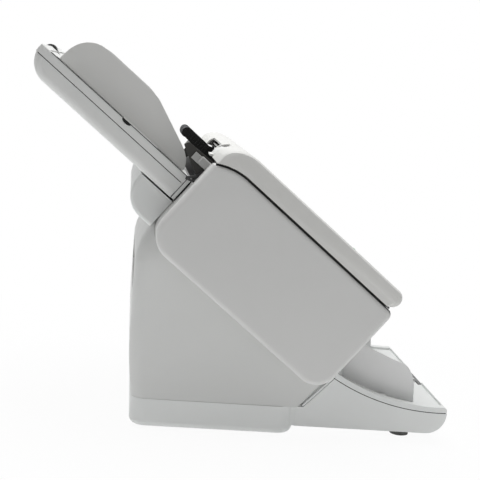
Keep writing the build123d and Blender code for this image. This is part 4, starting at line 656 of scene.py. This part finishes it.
# Cover: the light clamshell over the paper path, moulded in ABS a shade warmer than the body's.
# Thin skirts follow its seam at the sides, and a grey inner frame clipped into it holds the
# pinch rollers.
shell_cover = moulding("shell_cover", (0.735, 0.735, 0.715), (0.71, 0.71, 0.69), 0.5, shine=0.25)
softened("cover_shell", "front_cover", shell_cover, 0.0008)
side_on = Matrix(((0, 0, -1, 0), (-1, 0, 0, 0), (0, 1, 0, 0), (0, 0, 0, 1)))


def blade_plate(outline, square, x, thickness, base, edge=0.0005):
    """A thin plate that stands across X: a smooth outline with some square corners, given as
    points (distance to the front, height)."""
    curve = bpy.data.curves.new("blade_line", "CURVE")
    curve.dimensions = "2D"
    curve.fill_mode = "BOTH"
    curve.extrude = thickness / 2 - edge
    curve.bevel_depth = edge
    curve.bevel_resolution = 2
    curve.offset = -edge
    curve.resolution_u = 10
    line = curve.splines.new("BEZIER")
    line.bezier_points.add(len(outline) - 1)
    line.use_cyclic_u = True
    for index, (knot, spot) in enumerate(zip(line.bezier_points, outline)):
        knot.co = (*spot, 0)
        knot.handle_left_type = "VECTOR" if index in square else "AUTO"
        knot.handle_right_type = knot.handle_left_type
    plate = bpy.data.objects.new("blade_plate", curve)
    scene.collection.objects.link(plate)
    only(plate)
    bpy.ops.object.convert(target="MESH")
    plate = bpy.context.object
    bpy.ops.object.mode_set(mode="EDIT")
    bpy.ops.mesh.select_all(action="SELECT")
    bpy.ops.mesh.remove_doubles(threshold=0.000005)
    bpy.ops.mesh.normals_make_consistent(inside=False)
    bpy.ops.object.mode_set(mode="OBJECT")
    seated(plate, base @ Matrix.Translation((x, 0, 0)) @ side_on)
    bpy.ops.object.shade_smooth_by_angle(angle=radians(40))
    return plate


seam_centre = (-0.109, -0.0098)
skirt_outer = 0.0858
skirt_inner = 0.0846
skirt_front_p = 0.142
skirt_top_q = 0.076
skirt_foot_q = 0.0748
skirt_x = 0.2286
skirt_thickness = 0.0014
bends = [radians(a) for a in (33, 28, 23, 18, 13, 8, 4, 0)]
skirt_line = [(seam_centre[0] - skirt_outer * sin(a), seam_centre[1] + skirt_outer * cos(a))
              for a in bends]
skirt_line += [(skirt_front_p, skirt_top_q), (skirt_front_p, skirt_foot_q)]
skirt_line += [(seam_centre[0] - skirt_inner * sin(a), seam_centre[1] + skirt_inner * cos(a))
               for a in reversed(bends)]
skirt_corners = range(len(skirt_line))
skirts = [blade_plate(skirt_line, skirt_corners, side * skirt_x, skirt_thickness, slope, 0.0001)
          for side in (-1, 1)]
given_finish(joined("cover_skirts", skirts), shell_cover, "front_cover")
softened("cover_inner", "front_cover", shell_grey, 0.0004)

# Release latch: a grey paddle in the cover's rear edge, moulded in one with its shaft.
# Pulled up, it turns the hooks that hold the cover to the body.
guide_grey = moulding("guide_grey", (0.71, 0.71, 0.695), (0.69, 0.69, 0.676), 0.42)
softened("release_latch", "latch", guide_grey, 0.0006)

# Operator panel: a dark membrane plate with a hard gloss, bonded into the cover's front.
# It carries a display window, two keys and two lamps.
panel_dark = moulding("panel_dark", (0.024, 0.026, 0.029), (0.019, 0.021, 0.024), 0.24, 3200.0,
                      0.00001, shine=0.3)
softened("operator_panel", "front_cover", panel_dark, 0.0005)

# Display window: a liquid crystal under a clear lens, switched off, so only its pixels show.
# A thin bright bezel of turned steel frames it on the panel.
display_glass, lcd, screen = new_finish("display_glass")
screen.inputs["Coat Weight"].default_value = 0.6
lcd_place = object_place(lcd)
lcd_turn = lcd.nodes.new("ShaderNodeMapping")
lcd_turn.inputs["Rotation"].default_value = (-tilt, 0.0, 0.0)
lcd.links.new(lcd_place, lcd_turn.inputs["Vector"])
pixels = lcd.nodes.new("ShaderNodeTexBrick")
pixels.offset = 0.0
pixels.inputs["Scale"].default_value = 900.0
pixels.inputs["Mortar Size"].default_value = 0.06
pixels.inputs["Brick Width"].default_value = 0.5
pixels.inputs["Row Height"].default_value = 0.5
pixels.inputs["Color1"].default_value = (0.05, 0.062, 0.058, 1)
pixels.inputs["Color2"].default_value = (0.054, 0.067, 0.062, 1)
pixels.inputs["Mortar"].default_value = (0.028, 0.034, 0.033, 1)
lcd.links.new(lcd_turn.outputs["Vector"], pixels.inputs["Vector"])
lcd.links.new(pixels.outputs["Color"], screen.inputs["Base Color"])
ranged(lcd, noise(lcd, lcd_place, 60.0, 2.0), screen.inputs["Roughness"], 0.08, 0.16)
dress(display_glass, "display_window")

panel_top_q = 0.1022
rim_lift = 0.0002
rim_thickness = 0.0005
bezel_x = -0.045
bezel_p = 0.062
bezel_width = 0.0872
bezel_height = 0.0372
bezel_corner = 0.003
bezel_rim = 0.0016


def bright_rim(face, name, rim):
    """Makes a flat face a thin steel rim and lays it on the panel."""
    face.name = name
    bpy.ops.object.mode_set(mode="EDIT")
    bpy.ops.mesh.select_all(action="SELECT")
    bpy.ops.mesh.inset(thickness=rim, depth=0)
    bpy.ops.mesh.delete(type="FACE")
    bpy.ops.object.mode_set(mode="OBJECT")
    thick = face.modifiers.new("thick", "SOLIDIFY")
    thick.thickness = rim_thickness
    thick.offset = 0
    bpy.ops.object.modifier_apply(modifier=thick.name)
    seated(face, slope)
    rounded(face, 0.00012)
    given_finish(face, steel_turned, "front_cover")


bpy.ops.object.select_all(action="DESELECT")
bpy.ops.mesh.primitive_plane_add(size=1, location=(bezel_x, -bezel_p, panel_top_q + rim_lift))
bezel = bpy.context.object
bezel.scale = (bezel_width, bezel_height, 1)
bpy.ops.object.transform_apply(location=True, rotation=True, scale=True)
bpy.ops.object.mode_set(mode="EDIT")
bpy.ops.mesh.select_all(action="SELECT")
bpy.ops.mesh.bevel(offset=bezel_corner, segments=5, affect="VERTICES")
bpy.ops.object.mode_set(mode="OBJECT")
bright_rim(bezel, "display_bezel", bezel_rim)

# Start and stop keys: a green and a grey cap, moulded in ABS, on sprung stems through the panel.
# A bright collar of turned steel is laid round each.
button_green = moulding("button_green", (0.03, 0.24, 0.09), (0.024, 0.21, 0.078), 0.3, 2600.0)
button_grey = moulding("button_grey", (0.13, 0.13, 0.136), (0.11, 0.11, 0.116), 0.32, 2600.0)
softened("start_button", "start_key", button_green, 0.0005)
softened("stop_button", "stop_key", button_grey, 0.0005)
key_x = 0.084
key_rows = (("start", 0.07, 0.0116, 0.0012), ("stop", 0.1, 0.0086, 0.001))
for name, p, radius, rim in key_rows:
    bpy.ops.object.select_all(action="DESELECT")
    bpy.ops.mesh.primitive_circle_add(
        vertices=64, radius=radius + rim, fill_type="NGON",
        location=(key_x, -p, panel_top_q + rim_lift),
    )
    collar = bpy.context.object
    bpy.ops.object.transform_apply(location=True, rotation=True, scale=True)
    bright_rim(collar, name + "_collar", rim)

# Panel lamps: two small domes of green clear plastic beside the display.
# Each is the tip of a light guide that comes up through the panel.
lamp_glow = moulding("lamp_glow", (0.12, 0.5, 0.2), (0.1, 0.45, 0.17), 0.15, 2600.0, 0.00001)
lamp_radius = 0.0016
lamp_spots_x = (-0.081, -0.073)
lamp_p = 0.092
lamp_seat_q = panel_top_q - 0.0002
lamps = []
for x in lamp_spots_x:
    bpy.ops.object.select_all(action="DESELECT")
    bpy.ops.mesh.primitive_uv_sphere_add(
        segments=24, ring_count=12, radius=lamp_radius, location=(x, -lamp_p, lamp_seat_q)
    )
    dome = bpy.context.object
    bpy.ops.object.transform_apply(location=True, rotation=True, scale=True)
    bpy.ops.object.mode_set(mode="EDIT")
    bpy.ops.mesh.select_all(action="SELECT")
    bpy.ops.mesh.bisect(
        plane_co=(0, 0, lamp_seat_q), plane_no=(0, 0, 1), use_fill=True, clear_inner=True
    )
    bpy.ops.object.mode_set(mode="OBJECT")
    seated(dome, slope)
    rounded(dome, 0.0001, 40)
    lamps.append(dome)
given_finish(joined("panel_lamps", lamps), lamp_glow, "front_cover")

# Pick arm: two slim side plates joined over the pick rollers, moulded in black nylon.
# Each plate has a row of stiffening ribs outside and an end cap over the rollers' shaft.
arm_black = moulding("arm_black", (0.01, 0.01, 0.01), (0.007, 0.007, 0.007), 0.4, 2600.0,
                     shine=0.16)
softened("pick_arm", "arm", arm_black, 0.0005)
arm_face_x = 0.0435
arm_rib_width = 0.0012
arm_rib_height = 0.009
arm_rib_pitch = 0.0045
arm_rib_count = 10
arm_rib_first_p = -0.2
arm_rib_q = 0.063
arm_cap_radius = 0.0048
ribs = []
for side in (-1, 1):
    bpy.ops.object.select_all(action="DESELECT")
    bpy.ops.mesh.primitive_cube_add(
        size=1, location=(side * (arm_face_x + 0.0003), -arm_rib_first_p, arm_rib_q),
        scale=(arm_rib_width, arm_rib_width, arm_rib_height),
    )
    rib = bpy.context.object
    bpy.ops.object.transform_apply(location=True, rotation=True, scale=True)
    row = rib.modifiers.new("row", "ARRAY")
    row.count = arm_rib_count
    row.use_relative_offset = False
    row.use_constant_offset = True
    row.constant_offset_displace = (0.0, -arm_rib_pitch, 0.0)
    bpy.ops.object.modifier_apply(modifier=row.name)
    seated(rib, slope)
    rounded(rib, 0.0003)
    ribs.append(rib)
    bpy.ops.object.select_all(action="DESELECT")
    bpy.ops.mesh.primitive_cylinder_add(
        vertices=40, radius=arm_cap_radius, depth=0.0014, rotation=(0.0, pi / 2, 0.0),
        location=(side * (arm_face_x + 0.0004), -pick_p, pick_q),
    )
    cap = bpy.context.object
    bpy.ops.object.transform_apply(location=True, rotation=True, scale=True)
    seated(cap, slope)
    rounded(cap, 0.0004)
    ribs.append(cap)
given_finish(joined("pick_arm_ribs", ribs), arm_black, "arm")

# Hopper: a light tray of two mouldings, the tub below and the rimmed sheet support on it.
# It rides up the rods, and the grey extension plate slides in it.
for name in ("hopper_base", "hopper_top"):
    softened(name, "hopper", shell_light, 0.0009)
softened("hopper_extension", "hopper_pullout", shell_grey, 0.0004)

# Hopper lip: a light strip, moulded with upturned ends, that closes the hopper's front end.
# It is clipped on in three pieces.
lip_x = (-0.182, 0.182)
lip_end_x = (0.1822, 0.1854)
lip_y = (0.1594, 0.1642)
lip_z = (-0.0135, 0.0202)
lip_end_z = (-0.0135, 0.0222)
lip_parts = [block(lip_x, lip_y, lip_z, slope, 0.0006)]
lip_parts += [side_block(side, lip_end_x, lip_y, lip_end_z, slope, 0.0006) for side in (1, -1)]
given_finish(joined("hopper_front_lip", lip_parts), shell_light, "hopper")

# Hopper side trims: a black strip on the rim's top edge, painted shade for the shadowed gap there, a
# dark strip in the part line below it, and a finger tab.
# The part line strip and the tab are co-moulded in black along both sides of the hopper.
rim_shade_strip = ((0.1836, 0.1852), (0.166, 0.405), (0.0213, 0.0222))
joint_strip = ((0.1841, 0.18512), (0.168, 0.418), (0.0094, 0.0104))
tab_radius = 0.0073
tab_x = 0.1851
tab_y = 0.2742
tab_z = 0.0212
tab_top_z = 0.0221
tab_squash = 0.48
trims = []
for side in (-1, 1):
    # Painted shade: the black strip on the rim's top edge stands for the shadowed gap beside the
    # guide.
    trims.append(side_block(side, *rim_shade_strip, slope, 0.0003))
    trims.append(side_block(side, *joint_strip, slope, 0.0001))
    bpy.ops.object.select_all(action="DESELECT")
    bpy.ops.mesh.primitive_cylinder_add(
        vertices=48, radius=tab_radius, depth=0.0009, rotation=(0.0, pi / 2, 0.0),
        location=(side * tab_x, tab_y, tab_z),
    )
    tab = bpy.context.object
    tab.scale = (tab_squash, 1.0, 1.0)
    bpy.ops.object.transform_apply(location=True, rotation=True, scale=True)
    bpy.ops.object.mode_set(mode="EDIT")
    bpy.ops.mesh.select_all(action="SELECT")
    bpy.ops.mesh.bisect(
        plane_co=(0, 0, tab_top_z), plane_no=(0, 0, 1), use_fill=True, clear_outer=True
    )
    bpy.ops.object.mode_set(mode="OBJECT")
    seated(tab, slope)
    rounded(tab, 0.0002)
    trims.append(tab)
given_finish(joined("hopper_side_trims", trims), arm_black, "hopper")

# Hopper gasket: a thin black strip of foam rubber, glued between the lip and the tub.
# It shows as a dark line across the hopper's front end.
gasket_x = (-0.1852, 0.1852)
gasket_y = (0.1642, 0.1651)
gasket_z = (-0.0133, 0.0202)
gasket = block(gasket_x, gasket_y, gasket_z, slope, 0.0002)
gasket.name = "hopper_gasket"
given_finish(gasket, arm_black, "hopper")

# Mouth shade strip: a thin black strip on the body's rear wall, painted shade for the gap to the
# hopper's front end.
# It blocks the view through that gap, and the hopper's front end slides past it.
mouth_shade_x = (-0.178, 0.178)
mouth_shade_y = (0.157, 0.1589)
mouth_shade_z = (-0.014, 0.0195)
mouth_shade = block(mouth_shade_x, mouth_shade_y, mouth_shade_z, slope, 0.0003)
mouth_shade.name = "mouth_shade_strip"
given_finish(mouth_shade, arm_black, "base")

# Hopper guides: thin grey blades with a smooth outline, moulded with a foot and a stem that
# slides in a slot of the sheet support. A black strip along each blade's foot is painted shade for
# the shadowed gap under it.
guide_x = 0.1535
guide_thickness = 0.003
hopper_blade = [
    (-0.394, 0.0207), (-0.3932, 0.032), (-0.391, 0.0448), (-0.3858, 0.0562), (-0.3775, 0.0652),
    (-0.3665, 0.0711), (-0.355, 0.073), (-0.335, 0.0732), (-0.276, 0.0732), (-0.2625, 0.0714),
    (-0.25, 0.067), (-0.2, 0.0478), (-0.19, 0.043), (-0.1805, 0.0357), (-0.1752, 0.0272),
    (-0.1737, 0.0207),
]
hopper_blade_corners = (0, 7, 8, 10, 11, 15)
foot_plate = ((0.1548, 0.1642), (0.22, 0.28), (0.0207, 0.0225))
foot_stem = ((0.157, 0.163), (0.2446, 0.2554), (0.0106, 0.0212))
foot_keeper = ((0.154, 0.166), (0.239, 0.261), (0.0129, 0.0157))
blade_foot_dark_strip = ((0.1549, 0.1557), (0.177, 0.398), (0.0206, 0.0218))
for label, side in (("left", -1), ("right", 1)):
    body = "hopper_guide_" + label[0]
    parts = [
        blade_plate(hopper_blade, hopper_blade_corners, side * guide_x, guide_thickness, slope),
        side_block(side, *foot_plate, slope, 0.0007),
        side_block(side, *foot_stem, slope, 0.0004),
        side_block(side, *foot_keeper, slope, 0.0004),
    ]
    guide = joined("hopper_guide_%s_blade" % label, parts)
    given_finish(guide, guide_grey, body, ["hopper_guide_" + label])
    # Painted shade: a black strip that darkens the gap line along the blade's foot.
    dark_strip = side_block(side, *blade_foot_dark_strip, slope, 0.0003)
    dark_strip.name = "hopper_guide_%s_sole" % label
    given_finish(dark_strip, arm_black, body)

# Pull knob: a glossy black bead with grip ribs on the hopper's rear edge, moulded in one piece.
# It is fixed to the extension plate and draws it out.
softened("pull_knob", "hopper_pullout", rocker_black, 0.0008)

# Tray seams: black strips that follow the curved part line on both sides of the output tray.
# They are moulded into the joint between the tray's hull and its sheet support.
arc_u = 0.285
arc_z = 0.341
seam_radii = (0.2963, 0.2973)
seam_count = 16
seam_u = [0.1345 + 0.0108 * n for n in range(seam_count)]
seam_x = 0.1847
seam_thickness = 0.0009
level = Matrix.Identity(4)


def along_arc(radius, places):
    """Points (u, z) of an arc about the tray's centre of curvature."""
    return [(u, arc_z - sqrt(radius ** 2 - (u - arc_u) ** 2)) for u in places]


seam_line = along_arc(seam_radii[0], seam_u) + along_arc(seam_radii[1], reversed(seam_u))
seam_corners = (0, seam_count - 1, seam_count, 2 * seam_count - 1)
seams = [blade_plate(seam_line, seam_corners, side * seam_x, seam_thickness, level, 0.0001)
         for side in (-1, 1)]
given_finish(joined("tray_seams", seams), arm_black, "base")

# Output tray: a deep light hull under a rimmed sheet support, screwed together from below.
# A channel runs down each side of its slanted rear edge, and short wings close the plinth's side.
slant = Matrix(((1, 0, 0, 0), (0, 0.729, -0.6844, -0.086), (0, 0.6844, 0.729, 0.0425), (0, 0, 0, 1)))
channel_x = (0.179, 0.188)
channel_y = (-0.005, 0.004)
channel_z = (0.0055, 0.0655)
channels = [side_block(side, channel_x, channel_y, channel_z, slant, 0.0001) for side in (-1, 1)]
# Painted light: the tray's grey is the shells' light grey made lighter, against the shade under the
# overhanging body.
tray_brightened = moulding("tray_brightened", (0.8, 0.815, 0.805), (0.78, 0.795, 0.785), 0.52)
softened("tray_lower", "base", tray_brightened, 0.0008)
softened("tray_top", "base", tray_brightened, 0.0008, channels)
wing_x = (0.172, 0.1849)
wing_y = (-0.0856, -0.0775)
wing_z = (0.0148, 0.0415)
wings = [side_block(side, wing_x, wing_y, wing_z, level, 0.0006) for side in (-1, 1)]
given_finish(joined("tray_wings", wings), tray_brightened, "base")

# Output guides: grey blades, painted lighter against the shade of the body, moulded with a stem that
# slides in a slot of the tray.
# Their lower edge follows the tray's curve.
output_guide_brightened = moulding("output_guide_brightened", (0.82, 0.823, 0.82), (0.8, 0.803, 0.8), 0.42)
output_foot_radius = 0.2922
output_foot_u = (0.257, 0.236, 0.215, 0.194, 0.173, 0.152)
output_blade = along_arc(output_foot_radius, output_foot_u) + [
    (0.152, 0.092), (0.1598, 0.1215), (0.1632, 0.1285), (0.17, 0.1305), (0.179, 0.128),
    (0.193, 0.1215), (0.218, 0.111), (0.239, 0.1035), (0.2445, 0.0995), (0.252, 0.0876),
    (0.2555, 0.075),
]
output_blade_corners = (0, 5, 6, 10, 11, 12, 13, 15, 16)
output_stem = ((0.157, 0.163), (-0.2145, -0.2035), (0.0525, 0.0602))
for label, side in (("left", -1), ("right", 1)):
    parts = [
        blade_plate(output_blade, output_blade_corners, side * guide_x, guide_thickness, level),
        side_block(side, *output_stem, level, 0.0004),
    ]
    guide = joined("output_guide_%s_blade" % label, parts)
    given_finish(guide, output_guide_brightened, "tray_guide_" + label[0],
                 ["output_guide_" + label])

# Tray flap and extension: a grey flap that stands up on its pins to stop the sheets, and a dark
# tongue that slides in the tray's rails and pulls out of its nose for long ones. Both are moulded
# in ABS.
softened("output_stopper", "tray_flap", shell_grey, 0.0006)
softened("output_extension", "tray_pullout", panel_dark, 0.0006)

# Studio: a pale floor that fades into a white backdrop, one broad light overhead and weak fills.
# Seen by the camera, in gloss and through glass, the floor and the world are white.
bpy.ops.object.select_all(action="DESELECT")
bpy.ops.mesh.primitive_plane_add(size=12.0, location=(0.0, 0.0, 0.0))
floor = bpy.context.object
floor.name = "floor"
paper, sheet, matt = new_finish("floor_paper")
matt.inputs["Base Color"].default_value = (0.93, 0.93, 0.93, 1)
matt.inputs["Roughness"].default_value = 0.9
glow = sheet.nodes.new("ShaderNodeEmission")
glow.inputs["Color"].default_value = (1, 1, 1, 1)
distance = sheet.nodes.new("ShaderNodeVectorMath")
distance.operation = "LENGTH"
sheet.links.new(object_place(sheet), distance.inputs[0])
fade = sheet.nodes.new("ShaderNodeMapRange")
fade.interpolation_type = "SMOOTHSTEP"
fade.inputs["From Min"].default_value = 0.3
fade.inputs["From Max"].default_value = 0.75
fade.inputs["To Min"].default_value = 0.94
fade.inputs["To Max"].default_value = 1.0
sheet.links.new(distance.outputs["Value"], fade.inputs["Value"])


def shader_blend(tree, factor, first, second):
    """Goes from the first shader to the second with a factor."""
    both = tree.nodes.new("ShaderNodeMixShader")
    tree.links.new(factor, both.inputs["Fac"])
    tree.links.new(first, both.inputs[1])
    tree.links.new(second, both.inputs[2])
    return both.outputs["Shader"]


def seen_rays(tree):
    """1 on rays from the camera, on mirrored rays and on rays through glass, else 0."""
    path = tree.nodes.new("ShaderNodeLightPath")
    either = tree.nodes.new("ShaderNodeMath")
    either.operation = "MAXIMUM"
    tree.links.new(path.outputs["Is Camera Ray"], either.inputs[0])
    tree.links.new(path.outputs["Is Glossy Ray"], either.inputs[1])
    whole = tree.nodes.new("ShaderNodeMath")
    whole.operation = "MAXIMUM"
    tree.links.new(either.outputs["Value"], whole.inputs[0])
    tree.links.new(path.outputs["Is Transmission Ray"], whole.inputs[1])
    return whole.outputs["Value"]


faint = shader_blend(sheet, fade.outputs["Result"], matt.outputs["BSDF"], glow.outputs["Emission"])
chosen = shader_blend(sheet, seen_rays(sheet), matt.outputs["BSDF"], faint)
sheet.links.new(chosen, sheet.nodes["Material Output"].inputs["Surface"])
floor.data.materials.append(paper)

world = bpy.data.worlds.new("studio")
world.use_nodes = True
scene.world = world
sky = world.node_tree
lit = sky.nodes["Background"]
lit.inputs["Color"].default_value = (1, 1, 1, 1)
lit.inputs["Strength"].default_value = 0.24
backdrop = sky.nodes.new("ShaderNodeBackground")
backdrop.inputs["Color"].default_value = (1, 1, 1, 1)
shown = shader_blend(sky, seen_rays(sky), lit.outputs["Background"], backdrop.outputs["Background"])
sky.links.new(shown, sky.nodes["World Output"].inputs["Surface"])


def softbox(name, place, aim, size, power):
    """A square area lamp at a place, turned to face a point."""
    lamp = bpy.data.lights.new(name, "AREA")
    lamp.size = size
    lamp.energy = power
    holder = bpy.data.objects.new(name, lamp)
    scene.collection.objects.link(holder)
    holder.location = place
    holder.rotation_euler = (Vector(aim) - Vector(place)).to_track_quat("-Z", "Y").to_euler()
    return holder


softbox("overhead", (0.35, 0.1, 2.4), (0.0, 0.0, 0.2), 2.4, 58.0)
light_table = softbox("light_table", (0.0, 0.0, 0.0015), (0.0, 0.0001, 1.0), 2.6, 6.0)
light_table.visible_camera = False

# Camera: the photograph's long lens, low at the scanner's left side.
# Its place was fitted to the outline of the object.
lens = bpy.data.cameras.new("photo_camera")
lens.lens = 88.5
lens.sensor_width = 36.0
lens.clip_start = 0.05
camera = bpy.data.objects.new("photo_camera", lens)
scene.collection.objects.link(camera)
camera.matrix_world = Matrix((
    (-0.0877, 0.1445, -0.98561, -1.7419),
    (-0.9925, 0.0720, 0.09887, 0.1668),
    (0.0852, 0.9869, 0.13711, 0.4830),
    (0.0, 0.0, 0.0, 1.0),
))
scene.camera = camera
scene.view_settings.view_transform = "Standard"
